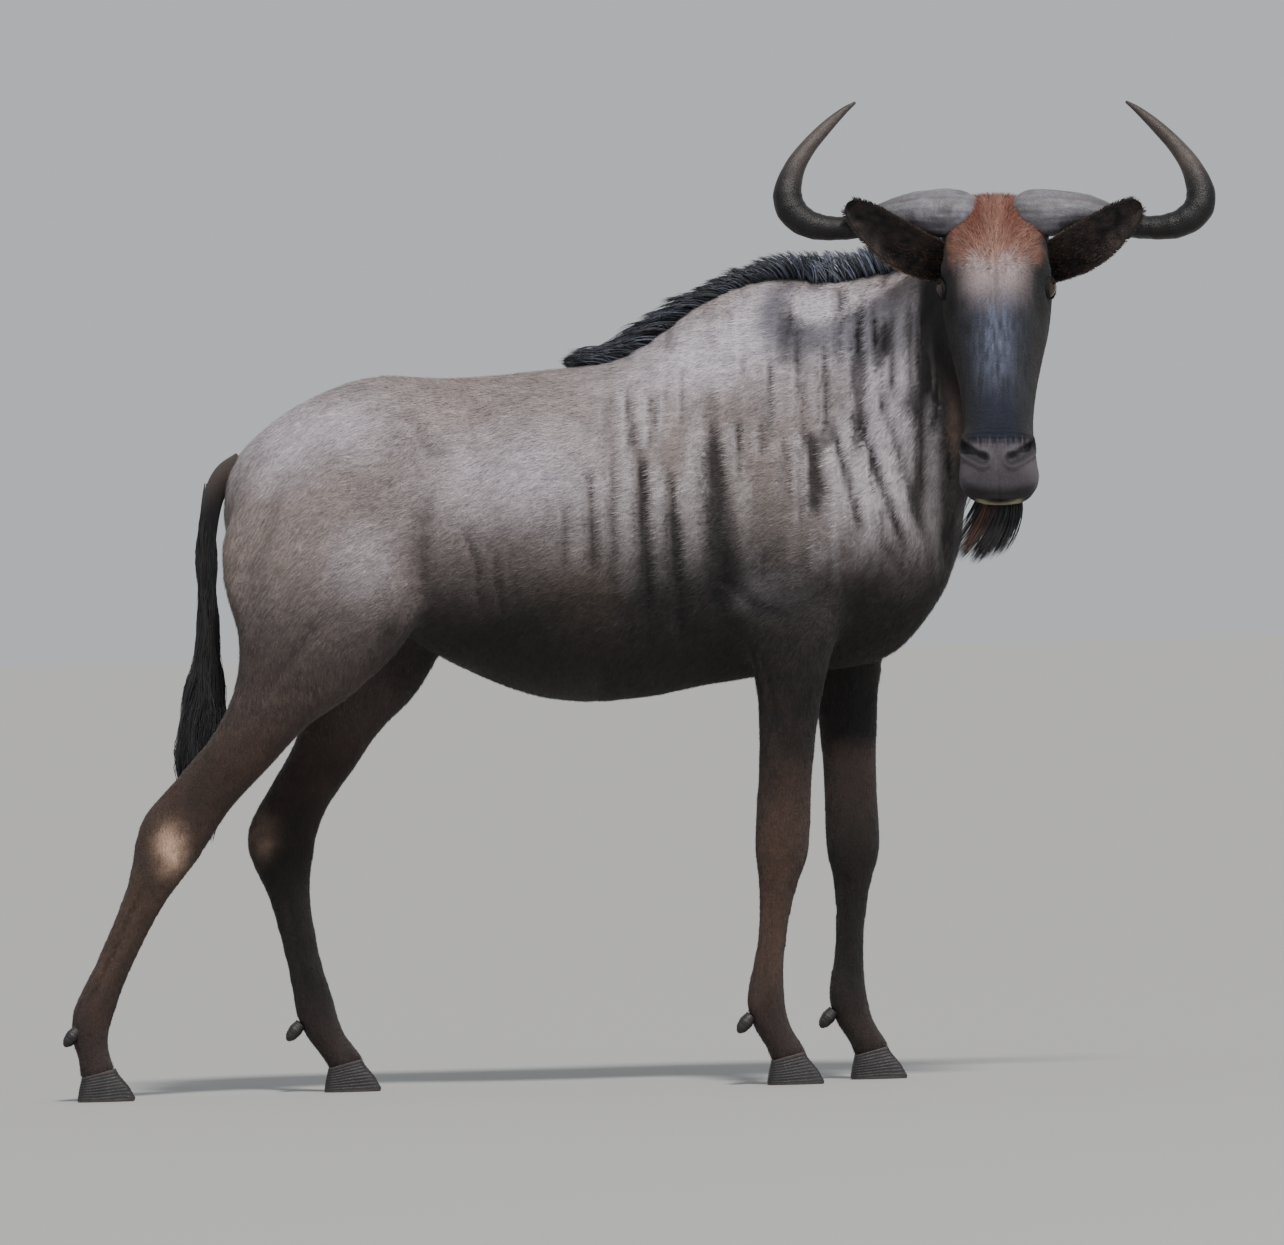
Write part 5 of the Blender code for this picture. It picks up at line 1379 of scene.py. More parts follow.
@dataclass(frozen=True)
class Coat:
    """Short fur over the skin: flat tapered tufts that overlap and lie along the body.

    A tuft is a three-point ring sunk in the skin and a tip, on a line that leans off the skin by
    lift and follows the lie of the coat.
    """

    tufts: int = 335000
    most: int = 49500
    length: float = 0.013
    half_width: float = 0.00072
    lift: float = math.radians(10.0)

    def region_of(self, points: Array) -> Array:
        """The number of the region that each point lies in.

        Args:
            points: Places in the body's own frame.
        Returns:
            One number a point.
        """
        names = [region.name for region in REGIONS]
        right = points[:, 1] < 0.0
        x, z = points[:, 0], points[:, 2]
        number = np.where(x < -0.3, names.index("haunch_left"), names.index("flank_left"))
        number = np.where(x > -0.03, names.index("shoulder_left"), number)
        number = np.where(x > 0.3 - 0.25 * (z - 1.0), names.index("neck_left"), number)
        number = number - right
        for name, leg in LEGS.items():
            line = leg.line()
            way = np.interp(z, line[::-1, 2], line[::-1, 0])
            top = 0.665 if name.startswith("fore") else 0.64
            near = (z < top) & (np.sign(points[:, 1]) == leg.side.value) & (np.abs(x - way) < 0.13)
            number = np.where(near, names.index(name), number)
        return np.where(MARKINGS.head_share(points) > 0.5, names.index("face"), number)

    def lie(self, points: Array) -> Array:
        """The way the fur points: back along the trunk, down the legs and neck, from the brow outward.

        Args:
            points: Places in the body's own frame.
        Returns:
            One vector a point.
        """
        x, z = points[:, 0], points[:, 2]
        trunk = np.array([-1.0, 0.0, -0.38])
        way = np.tile(trunk, (len(points), 1))
        down = ramp(0.8, 0.62, z)[:, None]
        way = way * (1.0 - down) + np.array([-0.12, 0.0, -1.0]) * down
        rump = ramp(-0.42, -0.62, x)[:, None]
        way = way + rump * np.array([0.35, 0.0, -0.8])
        neck = ramp(0.3, 0.48, x)[:, None] * ramp(0.75, 0.9, z)[:, None]
        way = way * (1.0 - neck) + np.array([-0.55, 0.25, -0.85]) * neck
        side, downward = HEAD.read(points).T[:2]
        face = MARKINGS.head_share(points)[:, None]
        whorl = ramp(0.06, 0.13, downward)[:, None]
        radial = (side / 0.05)[:, None] * HEAD.side + (-0.8 * HEAD.down)
        along = HEAD.down + 0.25 * np.sign(side)[:, None] * HEAD.side - 0.25 * HEAD.out
        cheek = ramp(0.045, 0.075, np.abs(side))[:, None] * ramp(0.32, 0.26, downward)[:, None]
        along = along * (1.0 - cheek) + (0.55 * HEAD.down - 0.85 * HEAD.out) * cheek
        head = radial * (1.0 - whorl) + along * whorl
        return way * (1.0 - face) + head * face

    def density(self, points: Array) -> Array:
        """How many tufts grow at each point, against 1 on the flank: none on eyes, slits and soles.

        Args:
            points: Places in the body's own frame.
        Returns:
            One number a point.
        """
        side, down, out = HEAD.read(points).T
        places = np.stack([np.abs(side), down, out], axis=1)
        face = MARKINGS.head_share(points)
        share = np.ones(len(points))
        close = np.flatnonzero(face > 0.3)
        slit = near_curve(places[close], spline(FACE.nostril, 24))
        lips = near_curve(places[close], spline(FACE.mouth, 24))
        open_eye = np.maximum(FACE.almond(points[close], Side.RIGHT), FACE.almond(points[close], Side.LEFT))
        bare = ramp(0.0085, 0.0115, slit) * ramp(0.0015, 0.004, lips) * ramp(-0.1, -0.3, open_eye)
        pad = ramp(0.416, 0.43, places[close, 1]) * ramp(-0.075, -0.062, places[close, 2])
        share[close] *= bare * (1.0 - 0.92 * pad)
        for leg in LEGS.values():
            foot = leg.line()[4]
            near = (np.abs(points[:, 0] - foot[0]) < 0.1) & (np.sign(points[:, 1]) == leg.side.value)
            plane = CORONET + (points[:, 0] - foot[0]) * math.tan(CORONET_SLOPE)
            share *= np.where(near, ramp(plane - 0.001, plane + 0.001, points[:, 2]), 1.0)
        return share

    def sizes(self, points: Array) -> tuple[Array, Array, Array]:
        """Length, half width and lift of the tufts at each point.

        Args:
            points: Places in the body's own frame.
        Returns:
            The three arrays, one value a point.
        """
        side, down = HEAD.read(points).T[:2]
        face = MARKINGS.head_share(points)
        muzzle = face * ramp(0.3, 0.42, down)
        leg = ramp(0.68, 0.5, points[:, 2])
        foot = ramp(0.2, 0.1, points[:, 2])
        length = self.length * (1.0 - 0.42 * leg) * (1.0 - 0.62 * face) * (1.0 - 0.35 * muzzle)
        brow = face * ramp(0.085, 0.045, np.abs(side)) * ramp(0.13, 0.07, down)
        length = length * (1.0 + 1.7 * brow) + 0.004 * foot * ramp(0.07, 0.055, points[:, 2])
        half = self.half_width * (1.0 - 0.25 * leg) * (1.0 - 0.42 * face)
        lift = self.lift * (1.0 - 0.25 * face) + math.radians(16.0) * brow
        return length, half, lift

    def grow(self, points: Array, normals: Array, triangles: Array) -> dict[str, bpy.types.Mesh]:
        """Grows every region's tufts.

        Roots are drawn by area and density from the skin's triangles with a fixed seed. A tuft's
        tip is its root plus its length along the lie, tilted off the skin.

        Args:
            points: The skin's vertices in the body's own frame.
            normals: Their normals.
            triangles: The skin's triangles as corner numbers.
        Returns:
            One mesh a region.
        """
        draw = np.random.default_rng(53)
        corners = points[triangles]
        area = 0.5 * np.linalg.norm(np.cross(corners[:, 1] - corners[:, 0], corners[:, 2] - corners[:, 0]), axis=1)
        middle = corners.mean(axis=1)
        region = self.region_of(middle)
        weight = area * self.density(middle) * np.array([item.share for item in REGIONS])[region]
        total = self.tufts
        wanted = total * weight / weight.sum()
        meshes = {}
        for number, item in enumerate(REGIONS):
            chosen = np.flatnonzero(region == number)
            load = wanted[chosen]
            count = min(int(load.sum()), self.most)
            picks = chosen[np.searchsorted(np.cumsum(load) / load.sum(), draw.uniform(0.0, 1.0, count) * 0.999999)]
            first, second = draw.uniform(0.0, 1.0, (2, count))
            flip = first + second > 1.0
            first, second = np.where(flip, 1.0 - first, first), np.where(flip, 1.0 - second, second)
            blend = np.stack([1.0 - first - second, first, second], axis=1)[..., None]
            root = np.sum(points[triangles[picks]] * blend, axis=1)
            normal = unit(np.sum(normals[triangles[picks]] * blend, axis=1))
            meshes[item.name] = self.tuft_mesh(item, root, normal, draw)
            LOG.info("coat %s: %d tufts", item.name, count)
        return meshes

    def tuft_mesh(self, item: Region, root: Array, normal: Array, draw: np.random.Generator) -> bpy.types.Mesh:
        """One region's tufts as a mesh, coloured, with its bake map and the skin's own normals.

        Args:
            item: The region.
            root: Where each tuft stands.
            normal: The skin's normal there.
            draw: The source of random numbers.
        Returns:
            The new mesh.
        """
        count = len(root)
        length, half, lift = self.sizes(root)
        swirl = 0.35 * np.stack([noise(root, 0.06, 60 + axis) for axis in range(3)], axis=1)
        way = unit(self.lie(root)) + swirl * 0.6 + draw.normal(0.0, 0.1, (count, 3))
        way = unit(way - normal * np.sum(way * normal, axis=1, keepdims=True))
        lift = lift * draw.uniform(0.5, 1.6, count)
        length = length * draw.uniform(0.65, 1.15, count)
        tip = root + length[:, None] * (np.cos(lift)[:, None] * way + np.sin(lift)[:, None] * normal)
        base = root - 0.0006 * normal
        lines = np.stack([base, tip], axis=1)
        across = unit(np.cross(normal, way))
        tone = draw.normal(1.0, 0.2, (count, 1)) * (1.0 + 0.1 * noise(root, 0.025, 71)[:, None])
        colour = np.clip(MARKINGS.tint(root, normal) * np.clip(tone, 0.55, 1.6), 0.002, 1.0)
        pale = (draw.uniform(0.0, 1.0, (count, 1)) > 0.88) * 0.5
        colour = colour + pale * (colour * 0.9 + 0.02)
        shades = np.stack([colour * 0.8, colour * 1.12], axis=1)
        mesh = strand_mesh(f"coat_{item.name}", lines, across, half, 0.35, np.array([1.0, 0.0]), shades)
        set_bake_map(mesh, item.unwrap(root), 4)
        lean = unit(normal + 0.22 * draw.normal(0.0, 1.0, (count, 1)) * across + 0.1 * way)
        mesh.normals_split_custom_set_from_vertices(np.repeat(lean, 4, axis=0).astype(np.float32))
        return mesh


@dataclass(frozen=True)
class Hooves:
    """Cloven hooves: two claws a foot with growth ridges, and two dewclaws behind each fetlock."""

    length: float = 0.092
    half: float = 0.0155
    apart: float = 0.0172
    levels: Rows = ((0.0, 0.965, 0.0), (0.004, 1.0, 0.0), (0.022, 0.93, 0.006), (0.042, 0.82, 0.017),
                    (0.06, 0.77, 0.024))
    rings: int = 40
    sides: int = 48

    def claw(self, name: str, toe_x: float, middle: float, hand: int) -> bpy.types.Mesh:
        """Half a hoof: ovals that narrow to the toe, up a sloping wall to the slanting coronet.

        Each ring is a share of the coronet plane's height, so the rings fan out with its slope.

        Args:
            name: The mesh's name.
            toe_x: X of the tip of the toe.
            middle: Y of the claw's middle.
            hand: 1 for the claw to the left of the other, -1 for the right.
        Returns:
            The new mesh, painted.
        """
        angle = np.linspace(0.0, 2 * math.pi, self.sides, endpoint=False)
        shape = 2.0 / 2.4
        cosine = np.sign(np.cos(angle)) * np.abs(np.cos(angle)) ** shape
        sine = np.sign(np.sin(angle)) * np.abs(np.sin(angle)) ** shape
        share = np.linspace(0.0, 1.0, self.rings)[:, None]
        level, scale, back = (np.array(self.levels)[:, k] for k in range(3))
        centre_x = toe_x - self.length / 2 - 0.01
        height = np.full((self.rings, self.sides), CORONET) * share
        for _ in range(3):
            size, lean = np.interp(height, level, scale), np.interp(height, level, back)
            along = self.length * (cosine * size - 1.0) / 2 - lean * (cosine * 0.5 + 0.5)
            height = share * (CORONET + (toe_x + along - centre_x) * math.tan(CORONET_SLOPE))
        toe = np.clip(along / self.length + 1.0, 0.0, 1.0)
        across = self.half * size * sine * (1.0 - 0.42 * toe**2)
        inner = (sine * hand < 0) * np.ones_like(across)
        across = across - hand * 0.0018 * inner * np.sin(math.pi * toe) * (1.0 - share)
        points = np.stack([toe_x + along, middle + across, height - 0.0003 * share], axis=-1)
        ridge = 0.00035 * np.sin(share * 62.0 + 1.5 * noise(points.reshape(-1, 3), 0.02, 31).reshape(across.shape))
        outward = np.stack([cosine * np.ones_like(across), sine * np.ones_like(across), 0.0 * across], axis=-1)
        points = points + ((ridge - 0.0004) * ramp(0.02, 0.12, share) * ramp(1.0, 0.94, share))[..., None] * outward
        mesh = loft(name, points, 0.0)
        flat = points.reshape(-1, 3)
        streak = 0.5 + 0.5 * noise(flat * (1.0, 1.0, 0.35), 0.006, 32)
        colour = between((20, 18, 20), (46, 42, 43), streak * 0.6)
        colour = wash(colour, (84, 74, 66), ramp(0.006, 0.0, flat[:, 2]) * 0.4)
        colour = wash(colour, (60, 52, 48), ramp(0.9, 1.0, np.repeat(share, self.sides)))
        return paint_rings(mesh, colour, self.sides)

    def dewclaw(self, name: str, centre: Array, hand: int) -> bpy.types.Mesh:
        """A small blunt horn cone: round rings along a line down and back.

        Args:
            name: The mesh's name.
            centre: Middle of its root.
            hand: 1 for the claw to the left of the other, -1 for the right.
        Returns:
            The new mesh, painted.
        """
        down = unit([-0.62, 0.1 * hand, -0.75])
        share = np.linspace(0.0, 1.0, 24)
        step = -0.014 + 0.0352 * share
        radius = np.interp(step, (-0.014, 0.0, 0.013, 0.0205, 0.0212), (0.0085, 0.0112, 0.0088, 0.0035, 0.0008))
        radius = radius + 0.0002 * np.sin(share * 40.0)
        centres = np.asarray(centre) + step[:, None] * down
        rings = oval_rings(centres, LEFT, np.cross(down, LEFT), radius, radius, radius, 2.0, 28)
        mesh = loft(name, rings, 0.0)
        flat = read(mesh)
        paint(mesh, "tint", between((18, 16, 17), (38, 34, 34),
                                0.5 + 0.5 * noise(flat, 0.004, 33)))
        return mesh

    def build(self, finish: bpy.types.Material) -> None:
        """Stands every foot's claws and dewclaws where their solids are, a piece each."""
        for leg_name, leg in LEGS.items():
            foot, fetlock, hand = leg.line()[4], leg.line()[3], leg.side.value
            for sign in (-1, 1):
                word = "inner" if sign == -hand else "outer"
                name = f"{leg_name}_hoof_{word}"
                claw = self.claw(name, foot[0] + 0.06, foot[1] + sign * self.apart, sign)
                place_piece(name + "_horn", claw, finish, (name,))
                name = f"{leg_name}_dewclaw_{word}"
                spur = self.dewclaw(name, fetlock + np.array([-0.034, sign * 0.014, -0.034]), sign)
                place_piece(name + "_horn", spur, finish, (name,))


@dataclass(frozen=True)
class Tail:
    """The tail's dock, a tapered rod that hangs close behind the rump."""

    rows: Rows = (
        (-0.615, 0.0, 1.015, 0.022), (-0.645, 0.0, 0.995, 0.021), (-0.664, 0.0, 0.96, 0.018),
        (-0.674, 0.0, 0.9, 0.015), (-0.677, 0.0, 0.84, 0.014), (-0.677, 0.0, 0.78, 0.013),
        (-0.677, 0.0, 0.735, 0.012),
    )

    def mesh(self) -> bpy.types.Mesh:
        """Round rings along the dock, darkening to black where the tuft starts.

        Returns:
            The new mesh, painted.
        """
        rows = spline(self.rows, 90)
        along = unit(np.gradient(rows[:, :3], axis=0))
        radius = rows[:, 3] - 0.0015
        rings = oval_rings(rows[:, :3], LEFT, np.cross(along, LEFT), radius, radius, radius, 2.0, 24)
        mesh = loft("tail", rings, 0.004)
        points = read(mesh)
        paint(mesh, "tint", between((62, 53, 50), (20, 19, 23),
                                ramp(1.0, 0.93, points[:, 2])))
        return mesh


@dataclass(frozen=True)
class LongHair:
    """Mane, beard and tail tuft as thousands of tapered strands drawn together in clumps.

    Mane stations are x, y, height over the skin and lie back for each metre it rises; beard
    stations are down the face, out, length and curl to the right; tuft stations are a centre and
    half sizes along X and Y.
    """

    mane: Rows = (
        (-0.075, 0.0, 0.005, 4.0), (-0.035, 0.0, 0.024, 2.8), (0.01, 0.0, 0.04, 2.2), (0.07, 0.0, 0.042, 2.1),
        (0.14, 0.0, 0.031, 2.2), (0.215, -0.002, 0.026, 1.9), (0.29, -0.006, 0.04, 0.9),
        (0.36, -0.014, 0.046, 0.5), (0.42, -0.03, 0.046, 0.2), (0.48, -0.062, 0.044, 0.1),
        (0.525, -0.1, 0.04, 0.0), (0.548, -0.128, 0.022, 0.0),
    )
    mane_half: float = 0.017
    mane_strands: int = 5400
    beard_strands: int = 1900
    tuft_strands: int = 3000
    beard: Rows = (
        (0.448, -0.112, 0.095, 0.03), (0.41, -0.128, 0.128, 0.042), (0.36, -0.14, 0.11, 0.02),
        (0.3, -0.158, 0.08, 0.008), (0.25, -0.176, 0.05, 0.0),
    )
    tuft: Rows = (
        (-0.672, 0.0, 0.965, 0.015, 0.015), (-0.677, 0.0, 0.9, 0.017, 0.016),
        (-0.678, 0.0, 0.82, 0.017, 0.016), (-0.678, 0.0, 0.745, 0.0185, 0.017),
        (-0.682, 0.0, 0.69, 0.027, 0.02), (-0.688, 0.0, 0.62, 0.04, 0.026), (-0.697, 0.0, 0.54, 0.043, 0.027),
        (-0.697, 0.0, 0.47, 0.032, 0.021), (-0.69, 0.0, 0.41, 0.017, 0.012),
        (-0.686, 0.0, 0.372, 0.004, 0.004),
    )

    def clumped(self, lines: Array, labels: Array, pull: float) -> Array:
        """Strands drawn toward their clump's mean line, more toward their tips.

        Args:
            lines: Centre lines as strands by stations by 3.
            labels: Each strand's clump.
            pull: How far a tip goes to its clump, from 0 to 1.
        Returns:
            The drawn lines.
        """
        count = labels.max() + 1
        weight = np.maximum(np.bincount(labels, minlength=count), 1)[:, None]
        share = np.linspace(0.0, 1.0, lines.shape[1]) ** 1.5 * pull
        drawn = lines.copy()
        for station in range(1, lines.shape[1]):
            mean = np.stack([np.bincount(labels, lines[:, station, axis], count) for axis in range(3)], axis=1) / weight
            drawn[:, station] += share[station] * (mean[labels] - lines[:, station])
        return drawn

    def build_mane(self, tree: BVHTree, finish: bpy.types.Material) -> None:
        """Roots beside the crest, hair up off it and back over the hump.

        Args:
            tree: The skin, to stand the roots on.
            finish: The material.
        """
        draw, count = np.random.default_rng(41), self.mane_strands
        rows = spline(self.mane, 400)
        heights = [tree.ray_cast(Vector((x, y, 2.0)), Vector((0.0, 0.0, -1.0)))[0].z for x, y in rows[:, :2]]
        crest = np.column_stack([rows[:, :2], heights])
        along = unit(np.gradient(crest, axis=0))
        across = unit(np.cross(UP, along))
        upright = np.cross(along, across)
        place = draw.uniform(0.0, len(rows) - 1.0, count)
        index = place.astype(int)
        shade = np.linspace(0.0, 1.0, 6)[None, :, None]
        width = self.mane_half * np.clip(rows[index, 2] / 0.03, 0.3, 1.0)
        side = np.clip(draw.normal(0.0, 0.5, count), -1.0, 1.0)
        tall = rows[index, 2] * draw.uniform(0.66, 1.03, count) * (1.0 - 0.3 * side**2)
        tall *= 1.0 + 0.08 * noise(crest[index], 0.018, 42)
        wide = (side * width)[:, None] * across[index]
        sag = (side * width) ** 2 / 0.12
        root = crest[index] + 0.8 * wide - (sag + 0.006)[:, None] * upright[index]
        back = -along[index] * (rows[index, 3] * tall)[:, None] + draw.normal(0.0, 0.003, (count, 3))
        rise = (tall + 0.006)[:, None] * upright[index] + 0.9 * wide
        lines = root[:, None] + rise[:, None] * np.sin(0.5 * math.pi * shade) + back[:, None] * shade**1.3
        labels = (place / 5.0).astype(int) * 3 + np.digitize(side, (-0.4, 0.4))
        lines = self.clumped(lines, labels, 0.4)
        tone = draw.uniform(0.0, 1.0, (count, 1)) ** 1.6
        # Pale blue-grey strands, more toward the front: a painted sheen of sky on the black hair.
        front = ramp(0.22, 0.34, crest[index, 0])[:, None]
        light = linear(60, 66, 84)[None] * (1.0 - front) + linear(132, 140, 162)[None] * front
        colours = linear(17, 17, 21)[None] * (1.0 - tone) + light * tone
        mesh = strand_mesh("mane_hair", lines, along[index], draw.uniform(0.0007, 0.0013, count), 0.55,
                           np.array([0.9, 1.0, 0.9, 0.7, 0.4, 0.0]), colours)
        set_bake_map(mesh, np.stack([0.02 + 0.96 * place / len(rows), 0.5 + 0.45 * side], axis=1), 16)
        place_piece("mane_hair", mesh, finish, ("mane",))

    def build_beard(self, finish: bpy.types.Material) -> None:
        """Roots under the jaw, hair hanging and curling to the right at its tips.

        Args:
            finish: The material.
        """
        draw, count = np.random.default_rng(43), self.beard_strands
        rows = spline(self.beard, 200)
        place = draw.uniform(0.0, 1.0, count) ** 1.15 * (len(rows) - 1.0)
        index = place.astype(int)
        down, out, length, curl = rows[index].T
        side = np.clip(draw.normal(0.0, 0.5, count), -1.0, 1.0)
        root = HEAD.place(0.006 + side * 0.026, down, out + 0.015 - 0.007 * np.abs(side))
        length = length * draw.uniform(0.7, 1.1, count) * (1.0 - 0.2 * side**2)
        t = np.linspace(0.0, 1.0, 8)[None, :, None]
        hang = (length + 0.012)[:, None, None] * t * np.array([0.0, 0.0, -1.0])
        sway = (0.02 * side[:, None, None] * t - 1.25 * curl[:, None, None] * t**2.0) * HEAD.side
        drift = draw.normal(0.0, 0.0035, (count, 1, 3)) * t * (1.0, 1.0, 0.0)
        lines = root[:, None] + hang + sway + drift + (0.006 * (1.0 - t) * t * 4.0) * HEAD.level
        labels = (place / 18.0).astype(int) * 3 + np.digitize(side, (-0.35, 0.35))
        lines = self.clumped(lines, labels, 0.55)
        tone = draw.uniform(0.0, 1.0, (count, 1)) ** 2.0
        rusty = (ramp(26.0, 8.0, place) * ramp(-0.2, -0.8, side))[:, None] * draw.uniform(0.0, 0.8, (count, 1))
        colours = linear(7, 7, 10)[None] * (1.0 - tone) + linear(38, 37, 42)[None] * tone
        colours = colours * (1.0 - rusty) + linear(140, 88, 62)[None] * rusty
        mesh = strand_mesh("beard_hair", lines, np.tile(HEAD.side, (count, 1)), draw.uniform(0.0006, 0.0011, count),
                           0.6, np.array([0.9, 1.0, 1.0, 0.9, 0.75, 0.55, 0.3, 0.0]), colours)
        set_bake_map(mesh, np.stack([0.02 + 0.96 * place / len(rows), 0.5 + 0.45 * side], axis=1), 22)
        place_piece("beard_hair", mesh, finish, ("beard",))

    def build_tuft(self, finish: bpy.types.Material) -> None:
        """Roots round the end of the dock, hair swelling out and drawing in to the tips.

        Args:
            finish: The material.
        """
        draw, count = np.random.default_rng(47), self.tuft_strands
        rows = spline(self.tuft, 200)
        level, order = rows[::-1, 2], rows[::-1]
        top, bottom = rows[0, 2] + 0.02, rows[-1, 2]
        share = draw.uniform(0.0, 1.0, count)
        start = top - share * 0.72 * (top - bottom)
        angle = draw.uniform(0.0, 2 * math.pi, count)
        end = np.maximum(start - draw.uniform(0.1, 0.2, count), bottom + 0.03 * draw.uniform(0.0, 1.0, count))
        spread = draw.uniform(0.45, 1.0, count)
        t = np.linspace(0.0, 1.0, 9)[None]
        height = start[:, None] + (end - start)[:, None] * t
        middle = np.interp(height, level, order[:, 0])
        reach = [np.interp(height, level, order[:, 3 + axis]) for axis in (0, 1)]
        open_out = 0.25 + 0.75 * np.minimum(t * 2.2, 1.0) * spread[:, None]
        wave = 0.0025 * np.sin(height * 60.0 + angle[:, None] * 3.0)
        lines = np.stack([middle + np.cos(angle)[:, None] * reach[0] * open_out + wave,
                          np.sin(angle)[:, None] * reach[1] * open_out, height], axis=-1)
        labels = (angle / (2 * math.pi) * 11).astype(int) * 5 + np.minimum((share * 5).astype(int), 4)
        lines = self.clumped(lines, labels, 0.45)
        tone = draw.uniform(0.0, 1.0, (count, 1)) ** 1.5
        colours = linear(7, 7, 10)[None] * (1.0 - tone) + linear(34, 33, 39)[None] * tone
        across = np.stack([-np.sin(angle), np.cos(angle), np.zeros(count)], axis=1)
        mesh = strand_mesh("tail_hair", lines, across, draw.uniform(0.0008, 0.0013, count), 0.6,
                           np.array([0.8, 1.0, 1.0, 1.0, 0.9, 0.8, 0.6, 0.35, 0.0]), colours)
        set_bake_map(mesh, np.stack([0.02 + 0.96 * share, angle / (2 * math.pi)], axis=1), 25)
        place_piece("tail_hair", mesh, finish, ("tail_tuft",))


def noise_group(name: str, detail: float, rough: float, span: tuple[float, float], output: str) -> bpy.types.NodeTree:
    """A shared group of nodes: noise at a scale, spread between Low and High.

    Args:
        name: The group's name.
        detail: Detail of its noise.
        rough: Roughness of its noise.
        span: The noise values that become Low and High.
        output: "Height" for relief, "Roughness" for gloss, "Colour" to scale the Tint by it.
    Returns:
        The node group.
    """
    group = bpy.data.node_groups.new(name, "ShaderNodeTree")
    tinted = output == "Colour"
    kinds = {"Tint": "Color"} if tinted else {}
    for socket, kind in {**kinds, "Vector": "Vector", "Scale": "Float", "Low": "Float", "High": "Float"}.items():
        group.interface.new_socket(socket, in_out="INPUT", socket_type=f"NodeSocket{kind}")
    group.interface.new_socket(output, in_out="OUTPUT", socket_type=f"NodeSocket{'Color' if tinted else 'Float'}")
    nodes, links = group.nodes, group.links
    source, sink = nodes.new("NodeGroupInput"), nodes.new("NodeGroupOutput")
    texture = nodes.new("ShaderNodeTexNoise")
    texture.inputs["Detail"].default_value = detail
    texture.inputs["Roughness"].default_value = rough
    spread = nodes.new("ShaderNodeMapRange")
    spread.inputs["From Min"].default_value, spread.inputs["From Max"].default_value = span
    for first, second in ((source.outputs["Vector"], texture.inputs["Vector"]),
                          (source.outputs["Scale"], texture.inputs["Scale"]),
                          (texture.outputs["Fac"], spread.inputs["Value"]),
                          (source.outputs["Low"], spread.inputs["To Min"]),
                          (source.outputs["High"], spread.inputs["To Max"])):
        links.new(first, second)
    value = spread.outputs["Result"]
    if tinted:
        scaled = nodes.new("ShaderNodeVectorMath")
        scaled.operation = "SCALE"
        links.new(source.outputs["Tint"], scaled.inputs[0])
        links.new(value, scaled.inputs["Scale"])
        value = scaled.outputs["Vector"]
    links.new(value, sink.inputs[output])
    return group


@dataclass(frozen=True)
class Finish:
    """A material: painted colour varied by noise, with gloss and fine relief at its own scales."""

    name: str
    rough: tuple[float, float]
    gloss_scale: float
    colour_scale: float
    colour_range: tuple[float, float]
    relief_scale: float
    relief: float
    stretch: tuple[float, float, float] = (1.0, 1.0, 1.0)
    sheen: float = 0.0
    coat: float = 0.0
    specular: float = 0.5

    def material(self, tools: dict[str, bpy.types.NodeTree]) -> bpy.types.Material:
        """Builds the node tree.

        Args:
            tools: The shared node groups: colour, gloss and relief.
        Returns:
            The material.
        """
        material = bpy.data.materials.new(self.name)
        material.use_nodes = True
        nodes, links = material.node_tree.nodes, material.node_tree.links
        shader = nodes["Principled BSDF"]
        place = nodes.new("ShaderNodeTexCoord")
        mapping = nodes.new("ShaderNodeMapping")
        mapping.inputs["Scale"].default_value = self.stretch
        links.new(place.outputs["Object"], mapping.inputs["Vector"])
        tint = nodes.new("ShaderNodeAttribute")
        tint.attribute_name = "tint"
        colour, gloss, height = (nodes.new("ShaderNodeGroup") for _ in range(3))
        colour.node_tree, gloss.node_tree, height.node_tree = tools["colour"], tools["gloss"], tools["relief"]
        links.new(tint.outputs["Color"], colour.inputs["Tint"])
        for node, scale, low, high in ((colour, self.colour_scale, *self.colour_range),
                                       (gloss, self.gloss_scale, *self.rough),
                                       (height, self.relief_scale, 0.0, 1.0)):
            links.new(mapping.outputs["Vector"], node.inputs["Vector"])
            node.inputs["Scale"].default_value = scale
            node.inputs["Low"].default_value = low
            node.inputs["High"].default_value = high
        bump = nodes.new("ShaderNodeBump")
        bump.inputs["Distance"].default_value = self.relief
        bump.inputs["Strength"].default_value = 1.0
        links.new(height.outputs["Height"], bump.inputs["Height"])
        links.new(bump.outputs["Normal"], shader.inputs["Normal"])
        links.new(colour.outputs["Colour"], shader.inputs["Base Color"])
        links.new(gloss.outputs["Roughness"], shader.inputs["Roughness"])
        for socket, value in (("Specular IOR Level", self.specular), ("Sheen Weight", self.sheen),
                              ("Sheen Roughness", 0.4), ("Coat Weight", self.coat), ("Coat Roughness", 0.04)):
            shader.inputs[socket].default_value = value
        return material


SKIN = Finish("short_coat_skin", (0.55, 0.75), 60.0, 380.0, (0.78, 1.22), 900.0, 0.001, (1.0, 1.0, 0.4), 0.05,
              specular=0.3)
FUR = Finish("short_fur", (0.48, 0.7), 90.0, 420.0, (0.85, 1.15), 900.0, 0.0002, sheen=0.1, specular=0.35)
HAIR = Finish("black_hair", (0.38, 0.6), 300.0, 500.0, (0.75, 1.25), 1200.0, 0.0003, (1.0, 1.0, 0.2), 0.1)
HORN = Finish("horn_sheath", (0.28, 0.52), 55.0, 140.0, (0.8, 1.2), 420.0, 0.0005, specular=0.35)
HOOF = Finish("hoof_horn", (0.35, 0.6), 90.0, 260.0, (0.8, 1.2), 700.0, 0.0004, (1.0, 1.0, 0.3))
EYE_GLOSS = Finish("wet_eye", (0.05, 0.09), 40.0, 200.0, (0.9, 1.1), 50.0, 0.00002, coat=0.35, specular=0.35)


